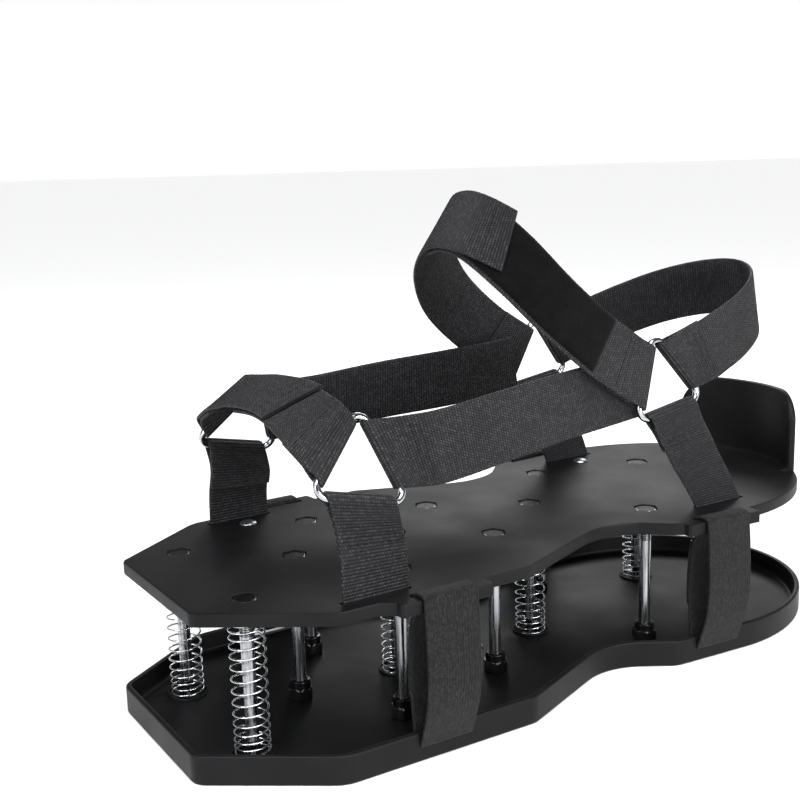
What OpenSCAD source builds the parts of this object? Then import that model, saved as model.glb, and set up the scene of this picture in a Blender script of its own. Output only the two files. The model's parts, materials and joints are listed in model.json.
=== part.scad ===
// Spring-loaded lawn aerator shoe: a spiked foot plate on springs over a ground tray.
// +Z is up, the toe points along -X, and the origin is under the middle of the tray.

/* [Sole] */
// Length of the ground tray
sole_len = 300; // [285:5:330]
// Width of the ground tray at the ball of the foot
sole_w = 126; // [122:1:136]
// Height of the top of the foot plate at rest
plate_top = 58; // [56:0.5:64]
// Thickness of the foot plate's edge
plate_t = 4.8; // [4.4:0.2:6]
// Thickness of the foot plate's panel
panel_t = 3.2; // [2.8:0.2:3.6]
// How far the foot plate's edge stands inside the tray's edge
plate_inset = 2.5; // [2:0.1:3]
// Height of the heel cup above the foot plate
cup_h = 34; // [24:1:40]
// Half of the heel cup's width
cup_half_w = 34; // [28:1:40]

/* [Tray] */
// Height of the tray's rim
rim_h = 10.4; // [10:0.2:13]
// Thickness of the tray's floor
floor_t = 2.5; // [2:0.1:3]
// Thickness of the tray's wall
wall_t = 2.2; // [1.8:0.1:2.4]

/* [Spikes and springs] */
// Diameter of a spike
spike_d = 4.6; // [4:0.1:5]
// Length of a spike's ground point
point_len = 7; // [5:0.5:9]
// Height of the spikes' points above the ground at rest
point_z = 1; // [0.5:0.1:2]
// Size of the spikes' heads and lock nuts across the flats
hex_af = 8; // [7:0.1:8.5]
// Outside diameter of a spring
spring_d = 12.6; // [12:0.1:14]
// Diameter of the spring wire
wire_d = 0.7; // [0.6:0.05:0.9]
// Number of turns in a spring
turns = 16; // [12:1:18]
// Height of a guide bush above the tray's floor
bush_h = 7.4; // [5:0.2:8]

/* [Straps] */
// Width of the webbing
web_w = 25; // [20:1:26]
// Thickness of the webbing
web_t = 1.3; // [1:0.1:1.6]
// Width of the elastic loops
band_w = 21; // [18:1:22]
// Thickness of the elastic loops
band_t = 1.4; // [1.2:0.1:1.5]
// Side of a strap ring's triangle, between its sharp corners
ring_side = 37; // [34:1:38]
// Diameter of a strap ring's wire
ring_wire = 2.6; // [2:0.1:3]

/* [Hidden] */

black = [0.12, 0.12, 0.125];
web_black = [0.07, 0.07, 0.075];
steel = [0.62, 0.63, 0.65];
bright = [0.82, 0.83, 0.85];

kx = sole_len / 300;
ky = sole_w / 126;
half_l = sole_len / 2;
plate_z = plate_top - plate_t;
lift = plate_top - 58;
gap = 0.1;

// Plan corners of one half of the tray, from the toe to the waist: x, y and fillet radius.
corners = [for (c = [[-150, 33, 7], [-110, 61.5, 14], [-33.5, 63, 10], [17.5, 42.5, 27], [41, 58, 12]])
    [c[0] * kx, c[1] * ky, c[2]]];
heel_x = 80 * kx;
heel_a = half_l - heel_x;
heel_b = 61 * ky;

// Places of the spikes: the sprung ones stand inside springs, the guided ones run in bushes.
spike_toe = [-127 * kx, 28.5 * ky];
spike_front = [-94 * kx, 0];
spike_ball = [-71 * kx, 34.5 * ky];
spike_ball_mid = [-51.5 * kx, 0];
spike_arch = [-21.5 * kx, 23 * ky];
spike_arch_mid = [14 * kx, 0];
spike_heel_front = [45.5 * kx, 34.5 * ky];
spike_heel_rear = [94 * kx, 21.5 * ky];
eyelet_at = [-15 * kx, 0];
function both(p) = [[p[0], -p[1]], p];
sprung = concat(both(spike_toe), [spike_ball_mid, spike_arch_mid], both(spike_heel_rear));
guided = concat([spike_front], both(spike_ball), both(spike_arch), both(spike_heel_front));
spikes = concat(sprung, guided);

head_t = 3;
nut_t = 3;
hole_r = spike_d / 2 + gap;
point_flat = 0.25;
spigot_r = 3.3;
seat_r = spring_d / 2 + 0.5;
boss_r = 7;

// Places of the elastic loops: middle of the tray's wall, and the wall's turn there.
lug_front = [-71.5 * kx, 62.25 * ky, 1];
lug_rear = [60.5 * kx, 59.5 * ky, 4.4];
lug_len = 36;
lug_out = 3.8;
lug_bar = 4.1;
lug_slot = 2.6;
slot_low = 4;
slot_high = 7.2;

// Strap rings: centre, roll in their own plane, and lean towards the foot, on the near side.
ring_front = [[-91 * kx, -44.6 * ky, 98.8 + lift], -13, 22];
ring_rear = [[49.5 * kx, -39.8 * ky, 108.5 + lift], 9, 10];
ring_fillet = 4;
ring_in = ring_side / (2 * sqrt(3));
LOW = -90;
RIGHT = 30;
LEFT = 150;

// Slots where the four risers pass through the plate: x and y of their middles.
riser_front_at = [-91.5 * kx, -53 * ky];
riser_rear_at = [74 * kx, -46.3 * ky];
rivet_in = 8.5;

function unit(v) = v / norm(v);
function deg2(a) = [cos(a), sin(a)];

// Points of the fillet of radius r at corner b, between its neighbours a and c.
function fillet(a, b, c, r, n = 6) =
    let (u = unit(a - b), v = unit(c - b), half = acos(u * v) / 2)
    let (mid = b + unit(u + v) * r / sin(half), p = b + u * r / tan(half), q = b + v * r / tan(half))
    [for (i = [0:n]) mid + r * unit((p - mid) * (1 - i / n) + (q - mid) * i / n)];

function flat(c) = [c[0], c[1]];
heel_start = [heel_x, heel_b];
half_outline = concat(
    [for (i = [0:len(corners) - 1])
        each fillet(i == 0 ? [-half_l, 0] : flat(corners[i - 1]), flat(corners[i]),
            i == len(corners) - 1 ? heel_start : flat(corners[i + 1]), corners[i][2])],
    [for (a = [90:-6:6]) [heel_x + heel_a * cos(a), heel_b * sin(a)]]);
outline = concat(half_outline, [[half_l, 0]],
    [for (i = [len(half_outline) - 1:-1:0]) [half_outline[i][0], -half_outline[i][1]]]);

// A closed outline moved in by d; outlines here run clockwise seen from above.
function moved_in(pts, d) = let (n = len(pts)) [for (i = [0:n - 1])
    let (t = unit(pts[(i + 1) % n] - pts[(i + n - 1) % n])) pts[i] + d * [t[1], -t[0]]];

// Smooth curve through the points p, open or closed, with n steps between two points.
function spline_at(a, b, c, d, t) = 0.5 * ((2 * b) + (c - a) * t + (2 * a - 5 * b + 4 * c - d) * t * t
    + (3 * b - a - 3 * c + d) * t * t * t);
function smooth_open(p, n) = let (m = len(p)) concat([for (i = [0:m - 2], j = [0:n - 1])
    spline_at(p[max(i - 1, 0)], p[i], p[i + 1], p[min(i + 2, m - 1)], j / n)], [p[m - 1]]);
function smooth_loop(p, n) = let (m = len(p)) [for (i = [0:m - 1], j = [0:n - 1])
    spline_at(p[(i + m - 1) % m], p[i], p[(i + 1) % m], p[(i + 2) % m], j / n)];

module hexagon(af, h) {
    cylinder(r = af / 2 / cos(30), h = h, $fn = 6);
}

module at_lug(lug) {
    translate([lug[0], lug[1], 0]) rotate(lug[2]) children();
}

module four_lugs() {
    for (lug = [lug_front, lug_rear]) {
        at_lug(lug) children();
        mirror([0, 1, 0]) at_lug(lug) children();
    }
}

module near_and_far(p) {
    for (side = [-1, 1]) translate([p[0], side * abs(p[1]), 0]) children();
}

// Outline of a lug: straight outer bar with sloping shoulders that run back into the plate.
module lug_shape() {
    h = lug_len / 2;
    polygon([[-h - 5, -8], [-h - 5, -plate_inset], [-h, 0.6], [-h, lug_out - 0.8], [-h + 0.8, lug_out],
        [h - 0.8, lug_out], [h, lug_out - 0.8], [h, -plate_inset], [h, -8]]);
}

module plate_panel() {
    difference() {
        linear_extrude(plate_t) union() {
            polygon(moved_in(outline, plate_inset));
            four_lugs() lug_shape();
        }
        // shallow hollow under the panel, with a full-depth boss left at each spike and lug
        translate([0, 0, -1]) difference() {
            linear_extrude(plate_t - panel_t + 1) polygon(moved_in(outline, plate_inset + 3));
            for (p = spikes) translate([p[0], p[1], -1]) cylinder(r = boss_r, h = plate_t, $fn = 48);
            four_lugs() translate([-lug_len / 2, -plate_inset - 5.5, -1]) cube([lug_len, 12, plate_t]);
        }
    }
}

module heel_cup() {
    r = 15;
    top = plate_t + cup_h;
    intersection() {
        linear_extrude(top) difference() {
            polygon(moved_in(outline, plate_inset));
            polygon(moved_in(outline, plate_inset + 3.2));
        }
        translate([heel_x + 10, 0, 0]) rotate([90, 0, 90]) linear_extrude(half_l) union() {
            translate([-cup_half_w, 0]) square([2 * cup_half_w, top - r]);
            translate([-cup_half_w + r, 0]) square([2 * (cup_half_w - r), top]);
            for (s = [-1, 1]) translate([s * (cup_half_w - r), top - r]) circle(r = r, $fn = 64);
        }
    }
}

module foot_plate() {
    color(black) translate([0, 0, plate_z]) difference() {
        union() {
            plate_panel();
            heel_cup();
        }
        for (p = spikes) translate([p[0], p[1], 0]) {
            translate([0, 0, -1]) cylinder(r = hole_r, h = plate_t + 2, $fn = 32);
            translate([0, 0, plate_t - head_t - 0.3]) hexagon(hex_af + 0.4, head_t + 1);
        }
        four_lugs() translate([-band_w / 2 - 1.5, lug_out - lug_bar - lug_slot, -1])
            cube([band_w + 3, lug_slot, plate_t + 2]);
        for (r = [riser_front_at, riser_rear_at]) near_and_far(r) {
            translate([-web_w / 2 - 1, -web_t / 2 - 0.4, -1]) cube([web_w + 2, web_t + 0.8, plate_t + 2]);
        }
        for (r = rivet_places()) translate([r[0], r[1], -1]) cylinder(r = 1.6, h = plate_t + 2, $fn = 24);
    }
}

function rivet_places() = [for (r = [riser_front_at, riser_rear_at], s = [-1, 1])
    [r[0], s * (abs(r[1]) - rivet_in)]];

module ground_tray() {
    color(black) difference() {
        union() {
            difference() {
                linear_extrude(rim_h) polygon(outline);
                translate([0, 0, floor_t]) linear_extrude(rim_h) polygon(moved_in(outline, wall_t));
            }
            for (p = sprung) translate([p[0], p[1], floor_t - 0.5]) difference() {
                cylinder(r = seat_r + 0.9, h = 1.3, $fn = 48);
                translate([0, 0, 0.5]) cylinder(r = seat_r, h = 2, $fn = 48);
            }
        }
        for (p = sprung) translate([p[0], p[1], -1]) cylinder(r = 3.6, h = floor_t + 2, $fn = 32);
        for (p = guided) translate([p[0], p[1], -1]) cylinder(r = spigot_r + 0.05, h = floor_t + 2, $fn = 32);
        translate([eyelet_at[0], eyelet_at[1], -1]) cylinder(r = 2.6, h = floor_t + 2, $fn = 32);
        translate([eyelet_at[0], eyelet_at[1], -1]) cylinder(r = 4, h = 1.8, $fn = 32);
        four_lugs() translate([-band_w / 2 - 1.5, -wall_t - 1.2, slot_low])
            cube([band_w + 3, wall_t + 3, slot_high - slot_low]);
    }
}

module tray_eyelet() {
    color(bright) translate([eyelet_at[0], eyelet_at[1], 0]) rotate_extrude($fn = 48)
        polygon([[1.9, 0.15], [3.7, 0.15], [3.7, 0.7], [2.5, 0.7], [2.5, floor_t + 0.05],
            [3.6, floor_t + 0.05], [3.6, floor_t + 0.5], [1.9, floor_t + 0.5]]);
}

module spike(p) {
    r = spike_d / 2;
    color(steel) translate([p[0], p[1], 0]) {
        rotate_extrude($fn = 48) polygon([[0, point_z], [point_flat, point_z], [r, point_z + point_len],
            [r, plate_top - head_t - 0.2], [0, plate_top - head_t - 0.2]]);
        translate([0, 0, plate_top - head_t - 0.25]) hexagon(hex_af, head_t);
    }
}

module spike_lock_nuts() {
    color(steel) for (p = spikes) translate([p[0], p[1], plate_z - nut_t - 0.02]) difference() {
        hexagon(hex_af, nut_t);
        translate([0, 0, -1]) cylinder(r = spike_d / 2 + 0.05, h = nut_t + 2, $fn = 32);
    }
}

// A spring as one sleeve of revolution whose wall swells at each turn of the wire.
module spring(p) {
    low = floor_t + 0.03;
    pitch = (plate_z - low - 0.05) / turns;
    mid_r = (spring_d - wire_d) / 2;
    web = wire_d * 0.3;
    steps = 4;
    function bulge(i) = web + (wire_d / 2 - web) * pow(sin(180 * (i % steps) / steps), 2);
    color(bright) translate([p[0], p[1], low]) rotate_extrude($fn = 48) polygon(concat(
        [for (i = [0:turns * steps]) [mid_r - bulge(i), i * pitch / steps]],
        [for (i = [turns * steps:-1:0]) [mid_r + bulge(i), i * pitch / steps]]));
}

module bush(p) {
    color(black) translate([p[0], p[1], 0]) difference() {
        union() {
            translate([0, 0, floor_t + 0.02]) hexagon(8.6, bush_h * 0.62);
            translate([0, 0, floor_t]) cylinder(r = 3.8, h = bush_h, $fn = 48);
            translate([0, 0, 0.3]) cylinder(r = spigot_r, h = floor_t, $fn = 48);
        }
        translate([0, 0, -1]) cylinder(r = hole_r, h = floor_t + bush_h + 2, $fn = 32);
    }
}

// An elastic loop in its lug's frame: over the plate's bar, down outside, in under the tray's rim.
module elastic() {
    bar_out = lug_out;
    bar_in = lug_out - lug_bar;
    slot_mid = bar_in - lug_slot / 2;
    low = (slot_low + slot_high) / 2;
    route = [[(bar_in + bar_out) / 2, plate_top + 1], [bar_out + 0.6, plate_top + 0.55],
        [bar_out + 1.2, plate_top - 2], [bar_out + 2.2, plate_top - 14], [bar_out + 2.5, 31],
        [bar_out + 1.2, 20], [2.5, 12], [1.3, 8.6], [0.35, low + 0.4], [-wall_t / 2, low - 0.1],
        [-wall_t - 0.8, low + 0.7], [-wall_t - 1.7, 10.5], [-wall_t - 2.7, 20], [-wall_t - 3.1, 31],
        [-wall_t - 2, plate_z - 9], [slot_mid, plate_z - 0.5], [slot_mid + 0.1, plate_top - 0.6],
        [bar_in - 0.5, plate_top + 0.65]];
    line = smooth_loop(route, 3);
    color(web_black) translate([-band_w / 2, 0, 0]) rotate([90, 0, 90]) linear_extrude(band_w)
        difference() {
            polygon(moved_in(line, -band_t / 2));
            polygon(moved_in(line, band_t / 2));
        }
}

// A rounded triangle of wire in the XY plane, with one bar along X below the centre.
module ring_wire_shape() {
    tips = [for (i = [0:2]) 2 * ring_in * deg2(90 - 120 * i)];
    path = [for (i = [0:2]) each fillet(tips[(i + 2) % 3], tips[i], tips[(i + 1) % 3], ring_fillet)];
    n = len(path);
    m = 10;
    points = [for (i = [0:n - 1], j = [0:m - 1])
        let (t = unit(path[(i + 1) % n] - path[(i + n - 1) % n]), w = ring_wire / 2 * deg2(360 * j / m))
        [path[i][0] + t[1] * w[0], path[i][1] - t[0] * w[0], w[1]]];
    faces = [for (i = [0:n - 1], j = [0:m - 1])
        let (a = i * m, b = (i + 1) % n * m, k = (j + 1) % m)
        each [[a + j, a + k, b + k], [a + j, b + k, b + j]]];
    polyhedron(points, faces, convexity = 4);
}

module ring(at) {
    color(bright) translate(at[0]) rotate([90 - at[2], 0, 0]) rotate(at[1]) ring_wire_shape();
}

// Axes of a ring's own plane, the middle of one of its bars, and that bar's direction.
function ring_x(at) = cos(at[1]) * [1, 0, 0] + sin(at[1]) * [0, sin(at[2]), cos(at[2])];
function ring_y(at) = -sin(at[1]) * [1, 0, 0] + cos(at[1]) * [0, sin(at[2]), cos(at[2])];
function bar_mid(at, a) = at[0] + ring_in * (cos(a) * ring_x(at) + sin(a) * ring_y(at));
function bar_dir(at, a) = -sin(a) * ring_x(at) + cos(a) * ring_y(at);
// Where a strap's turned end wraps a bar: its station stands past the bar, towards the ring's centre.
function wrap(at, a, side = 1) = let (out = cos(a) * ring_x(at) + sin(a) * ring_y(at))
    [bar_mid(at, a) - 2 * out, side * bar_dir(at, a)];

// A flat strap: each station is a point of its middle line and the direction across it there.
module strap(stations, w = web_w, t = web_t, steps = 2) {
    mids = smooth_open([for (s = stations) s[0]], steps);
    acrosses = smooth_open([for (s = stations) unit(s[1])], steps);
    n = len(mids);
    rings = [for (i = [0:n - 1])
        let (along = unit(mids[min(i + 1, n - 1)] - mids[max(i - 1, 0)]))
        let (a = unit(acrosses[i] - (acrosses[i] * along) * along), up = cross(along, a))
        each [mids[i] - a * w / 2 - up * t / 2, mids[i] + a * w / 2 - up * t / 2,
            mids[i] + a * w / 2 + up * t / 2, mids[i] - a * w / 2 + up * t / 2]];
    sides = [for (i = [0:n - 2], j = [0:3]) let (k = (j + 1) % 4)
        each [[4 * i + j, 4 * i + 4 + k, 4 * i + k], [4 * i + j, 4 * i + 4 + j, 4 * i + 4 + k]]];
    last = 4 * (n - 1);
    ends = [[0, 1, 2], [0, 2, 3], [last, last + 2, last + 1], [last, last + 3, last + 2]];
    color(web_black) polyhedron(rings, concat(sides, ends), convexity = 6);
}

// A point of a strap's middle line, scaled with the sole and lifted with the plate.
function on(x, y, z) = [x * kx, y * ky, z + lift];

riser_front_line = let (x = riser_front_at[0], y = riser_front_at[1], z = plate_z + 0.85) [
    [[x, y + rivet_in + 4, z], [1, 0, 0]],
    [[x, y + 2.5, z], [1, 0, 0]],
    [[x, y + 0.4, z + 0.7], [1, 0, 0]],
    [[x, y, plate_top], [1, 0, 0]],
    [[x + 0.1, y + 0.6, plate_top + 10], [1, 0, -0.03]],
    [[x + 0.3, y + 3.5, plate_top + 21], [1, 0, -0.12]],
    wrap(ring_front, LOW)];

riser_rear_line = let (x = riser_rear_at[0], y = riser_rear_at[1], z = plate_z + 0.85) [
    [[x, y + rivet_in + 4, z], [1, 0, 0]],
    [[x, y + 2.5, z], [1, 0, 0]],
    [[x, y + 0.4, z + 0.7], [1, 0, 0]],
    [[x - 0.5, y, plate_top], [1, 0, 0]],
    [[x - 6, y + 1.4, plate_top + 11], [1, 0, 0.05]],
    [[x - 14, y + 3.6, plate_top + 25], [1, 0, 0.12]],
    wrap(ring_rear, LOW)];

side_strap_line = [
    wrap(ring_front, RIGHT),
    [on(-60, -45.5, 101.5), [-0.12, 0.2, 1]],
    [on(-30, -42.8, 104), [-0.06, 0.16, 1]],
    [on(0, -38.2, 106), [-0.1, 0.12, 1]],
    [on(22, -36.6, 107.6), [-0.16, 0.12, 1]],
    [on(35, -36.4, 108.8), [-0.22, 0.12, 1]]];

toe_rise = [
    wrap(ring_front, LEFT, -1),
    [on(-101, -39, 110.2), [0.76, 0.2, 0.6]],
    [on(-100.5, -28.5, 113.2), [0.87, 0.12, 0.42]]];
toe_top = [[on(-98, -14.5, 114.8), [0.94, 0.04, 0.32]], [on(-96.5, 0, 115.3), [0.95, 0, 0.3]]];
toe_hinge = on(-98.4, 14.5, 116.6);
toe_axis = [0.94, -0.04, 0.32];

ankle_rise = [
    wrap(ring_rear, LEFT, -1),
    [on(19.3, -39.6, 125.4), [0.6, 0.14, 0.76]],
    [on(-0.2, -36.6, 142), [0.68, 0.12, 0.7]],
    [on(-12.8, -27, 158.6), [0.64, 0.06, 0.76]]];
ankle_top = [[on(-18.5, -12, 170), [0.58, 0.03, 0.81]], [on(-20, 0, 173), [0.57, 0, 0.82]]];
ankle_hinge = on(-20.6, 12, 171.3);
ankle_axis = [0.58, -0.03, 0.81];

heel_rise = [
    wrap(ring_rear, RIGHT),
    [on(75, -38.8, 120), [-0.36, 0.1, 0.93]],
    [on(95, -35.5, 126), [-0.24, 0.06, 0.97]],
    [on(113, -27.5, 132), [-0.18, 0.04, 0.98]],
    [on(125, -15, 136), [-0.14, 0.02, 0.99]],
    [on(129.5, 0, 137.5), [-0.12, 0, 0.99]]];

// The same stations on the other side of the foot, in the opposite order.
function far_side(line) = [for (i = [len(line) - 1:-1:0]) let (s = line[i])
    [[s[0][0], -s[0][1], s[0][2]], [s[1][0], -s[1][1], s[1][2]]]];
// Stations lifted by d away from the foot, along the outward direction out.
function lifted(line, out, d) = [for (s = line) [s[0] + d * unit(out), s[1]]];

module riser_front_near() { strap(riser_front_line); }
module riser_front_far() { mirror([0, 1, 0]) strap(riser_front_line); }
module riser_rear_near() { strap(riser_rear_line); }
module riser_rear_far() { mirror([0, 1, 0]) strap(riser_rear_line); }
module side_strap_near() { strap(side_strap_line); }
module side_strap_far() { mirror([0, 1, 0]) strap(side_strap_line); }

module toe_strap_near() {
    strap(concat(toe_rise, toe_top, [[on(-97.7, 11.3, 114.95), [0.94, -0.03, 0.32]]]));
}

module toe_strap_far() {
    far = far_side(toe_rise);
    strap(concat([[toe_hinge + [-0.2, 2.1, -0.3], toe_axis],
        [on(-99.6, 21.5, 115.6), [0.91, -0.07, 0.37]]], lifted([far[0]], [0, 0.5, 1], 0.4),
        [far[1], far[2]]));
}

module toe_strap_tail() {
    strap([[toe_hinge, toe_axis], [on(-97, 0, 117.1), [0.95, 0, 0.3]],
        [on(-98.1, -12.5, 116.75), [0.94, 0.04, 0.32]]]);
}

module ankle_strap_near() {
    strap(concat(ankle_rise, ankle_top, [[on(-19.4, 9, 171.1), [0.58, -0.03, 0.81]]]));
}

module ankle_strap_far() {
    far = far_side(ankle_rise);
    strap(concat([[ankle_hinge + [0.8, 2.1, -0.75], ankle_axis]],
        lifted([far[0]], [-0.6, 0.6, 0.5], 0.5), [far[1], far[2], far[3]]));
}

module ankle_strap_tail() {
    strap([[ankle_hinge, ankle_axis], [on(-21.5, 0, 174.5), [0.57, 0.03, 0.82]],
        [on(-19.8, -12.8, 172.6), [0.55, 0.13, 0.82]], [on(-13.6, -24.7, 166.8), [0.51, 0.25, 0.87]]]);
}

module heel_strap() {
    rear = len(heel_rise) - 1;
    far = far_side(heel_rise);
    strap(concat(heel_rise, [for (i = [1:rear]) far[i]]));
}

module strap_rivets() {
    color(bright) for (p = rivet_places()) translate([p[0], p[1], 0]) {
        rotate_extrude($fn = 32) polygon([[0, plate_z + 0.05], [3, plate_z + 0.05], [3, plate_z + 0.2],
            [1.5, plate_z + 0.2], [1.5, plate_top + 0.05], [3.4, plate_top + 0.05],
            [3.1, plate_top + 0.6], [2.2, plate_top + 1.1], [0, plate_top + 1.3]]);
    }
}

module far_ring(at) {
    mirror([0, 1, 0]) ring(at);
}

foot_plate();
ground_tray();
tray_eyelet();
spike_lock_nuts();
strap_rivets();
spike(both(spike_toe)[0]);  // spike_toe_near
spike(both(spike_toe)[1]);  // spike_toe_far
spike(spike_front);  // spike_front_middle
spike(both(spike_ball)[0]);  // spike_ball_near
spike(both(spike_ball)[1]);  // spike_ball_far
spike(spike_ball_mid);  // spike_ball_middle
spike(both(spike_arch)[0]);  // spike_arch_near
spike(both(spike_arch)[1]);  // spike_arch_far
spike(spike_arch_mid);  // spike_arch_middle
spike(both(spike_heel_front)[0]);  // spike_heel_front_near
spike(both(spike_heel_front)[1]);  // spike_heel_front_far
spike(both(spike_heel_rear)[0]);  // spike_heel_rear_near
spike(both(spike_heel_rear)[1]);  // spike_heel_rear_far
spring(both(spike_toe)[0]);  // spring_toe_near
spring(both(spike_toe)[1]);  // spring_toe_far
spring(spike_ball_mid);  // spring_ball
spring(spike_arch_mid);  // spring_arch
spring(both(spike_heel_rear)[0]);  // spring_heel_near
spring(both(spike_heel_rear)[1]);  // spring_heel_far
bush(spike_front);  // bush_front_middle
bush(both(spike_ball)[0]);  // bush_ball_near
bush(both(spike_ball)[1]);  // bush_ball_far
bush(both(spike_arch)[0]);  // bush_arch_near
bush(both(spike_arch)[1]);  // bush_arch_far
bush(both(spike_heel_front)[0]);  // bush_heel_near
bush(both(spike_heel_front)[1]);  // bush_heel_far
mirror([0, 1, 0]) at_lug(lug_front) elastic();  // elastic_front_near
at_lug(lug_front) elastic();  // elastic_front_far
mirror([0, 1, 0]) at_lug(lug_rear) elastic();  // elastic_rear_near
at_lug(lug_rear) elastic();  // elastic_rear_far
ring(ring_front);  // ring_front_near
far_ring(ring_front);  // ring_front_far
ring(ring_rear);  // ring_rear_near
far_ring(ring_rear);  // ring_rear_far
riser_front_near();
riser_front_far();
riser_rear_near();
riser_rear_far();
side_strap_near();
side_strap_far();
toe_strap_near();
toe_strap_far();
toe_strap_tail();
ankle_strap_near();
ankle_strap_far();
ankle_strap_tail();
heel_strap();
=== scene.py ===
# %% [markdown]
# # A spring-loaded lawn aerator shoe
# A shoe like this straps under a work boot. The wearer stands on a moulded foot plate that
# carries thirteen steel spikes. Six springs hold a shallow ground tray below it, and each
# step presses the spikes out through the tray and into the lawn. We build its looks here,
# piece by piece, round the engineering model in model.glb. Its nodes are parented to
# their bodies, and each piece we make is given the body it rides on, if any, and hides
# the nodes that it stands for.

import json
import math
import random

import bmesh
import bpy
from mathutils import Matrix, Vector
from mathutils.geometry import delaunay_2d_cdt

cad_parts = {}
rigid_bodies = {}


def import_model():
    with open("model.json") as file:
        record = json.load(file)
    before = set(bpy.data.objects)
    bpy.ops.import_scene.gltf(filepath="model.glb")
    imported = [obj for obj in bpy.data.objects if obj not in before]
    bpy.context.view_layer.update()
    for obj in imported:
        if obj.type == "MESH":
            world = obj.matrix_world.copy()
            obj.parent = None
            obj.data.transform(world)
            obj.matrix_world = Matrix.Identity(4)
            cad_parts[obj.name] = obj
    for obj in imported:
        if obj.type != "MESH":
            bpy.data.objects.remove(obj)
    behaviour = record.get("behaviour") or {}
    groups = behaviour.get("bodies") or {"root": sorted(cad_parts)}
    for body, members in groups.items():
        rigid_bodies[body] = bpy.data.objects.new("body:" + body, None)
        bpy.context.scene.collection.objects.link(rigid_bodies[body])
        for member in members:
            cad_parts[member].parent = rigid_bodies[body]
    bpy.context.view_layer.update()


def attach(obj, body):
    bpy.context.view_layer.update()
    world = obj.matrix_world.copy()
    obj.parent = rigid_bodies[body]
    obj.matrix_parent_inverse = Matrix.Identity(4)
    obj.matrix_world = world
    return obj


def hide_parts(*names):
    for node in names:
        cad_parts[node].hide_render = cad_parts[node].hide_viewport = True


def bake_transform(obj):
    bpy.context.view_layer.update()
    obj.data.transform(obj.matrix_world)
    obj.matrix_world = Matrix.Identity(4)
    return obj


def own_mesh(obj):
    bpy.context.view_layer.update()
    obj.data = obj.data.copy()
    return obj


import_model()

# %% [markdown]
# ## Camera
# The camera stands low in front of the toe, on the near side, and looks down a little. Its
# place, turn and lens are given in the part's own frame, in millimetres and degrees. The
# focal length is in units of which the square frame is 800 wide, and becomes a lens in mm.

# %% Camera
MM = 0.001
FRAME_UNITS = 800
SENSOR = 36.0


def place_camera(at, yaw, pitch, roll, focal, centre_y):
    """A camera at a point in mm, with angles in degrees and focal length in frame units."""
    yaw, pitch, roll = (math.radians(a) for a in (yaw, pitch, roll))
    back = Vector((math.sin(yaw) * math.cos(pitch), -math.cos(yaw) * math.cos(pitch),
                   math.sin(pitch)))
    right = (-back).cross(Vector((0, 0, 1))).normalized()
    up = right.cross(-back)
    right, up = (math.cos(roll) * right + math.sin(roll) * up,
                 math.cos(roll) * up - math.sin(roll) * right)
    camera = bpy.data.objects.new("camera", bpy.data.cameras.new("camera"))
    bpy.context.scene.collection.objects.link(camera)
    camera.data.sensor_width = SENSOR
    camera.data.lens = focal * SENSOR / FRAME_UNITS
    camera.data.shift_y = (centre_y - FRAME_UNITS / 2) / FRAME_UNITS
    camera.data.clip_start = 0.01
    camera.matrix_world = Matrix((right, up, back)).transposed().to_4x4()
    camera.location = Vector(at) * MM
    bpy.context.scene.camera = camera
    return camera


camera = place_camera((-274.9, -364.5, 195.3), -32.02, 11.16, -1.69, 1171.8, 395.4)
print("lens", round(camera.data.lens, 2), "mm")

# %% [markdown]
# ## Node helper and colours
# Materials are small graphs of nodes. One function adds a node, sets its values and links
# it in one go, so each finish below reads as a short recipe. Colours are written as the
# sRGB hex values that a painter would pick, and a second function turns them to the linear
# values that the renderer works in.

# %% Helpers for materials


def linear(hex_colour):
    """An sRGB hex colour as linear red, green, blue and alpha."""
    parts = [int(hex_colour[i:i + 2], 16) / 255 for i in (1, 3, 5)]
    return [c / 12.92 if c <= 0.04045 else ((c + 0.055) / 1.055) ** 2.4 for c in parts] + [1.0]


def add_node(tree, kind, inputs=None, **settings):
    """Adds a node; inputs holds values or the output sockets that feed them."""
    node = tree.nodes.new(kind)
    for name, value in settings.items():
        setattr(node, name, value)
    for name, value in (inputs or {}).items():
        if isinstance(value, bpy.types.NodeSocket):
            tree.links.new(value, node.inputs[name])
        else:
            node.inputs[name].default_value = value
    return node


def new_finish(name, **shader_values):
    """A material with its shader's plain values set, and its node tree."""
    finish = bpy.data.materials.new(name)
    finish.use_nodes = True
    shader = finish.node_tree.nodes["Principled BSDF"]
    for key, value in shader_values.items():
        shader.inputs[key.replace("_", " ")].default_value = value
    return finish, finish.node_tree, shader


def two_tones(tree, factor, low, high, start=0.3, end=0.7):
    """A ramp between two hex colours, driven by a factor socket."""
    ramp = add_node(tree, "ShaderNodeValToRGB", {"Fac": factor})
    ramp.color_ramp.elements[0].position, ramp.color_ramp.elements[0].color = start, linear(low)
    ramp.color_ramp.elements[1].position, ramp.color_ramp.elements[1].color = end, linear(high)
    return ramp.outputs["Color"]


print("mid grey in linear light:", round(linear("#808080")[0], 3))

# %% [markdown]
# ## Moulded plastic
# The plate and tray are injection moulded polypropylene, dyed black. Polypropylene is a
# little waxy: IOR about 1.49, no coat, and a satin skin, because the mould was spark
# eroded. The grain of such a skin is about 0.3 mm. Broad, faint patches of gloss come from
# handling and from how the melt flowed. The guide bushes are glossier moulded nylon.

# %% Plastics


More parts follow.
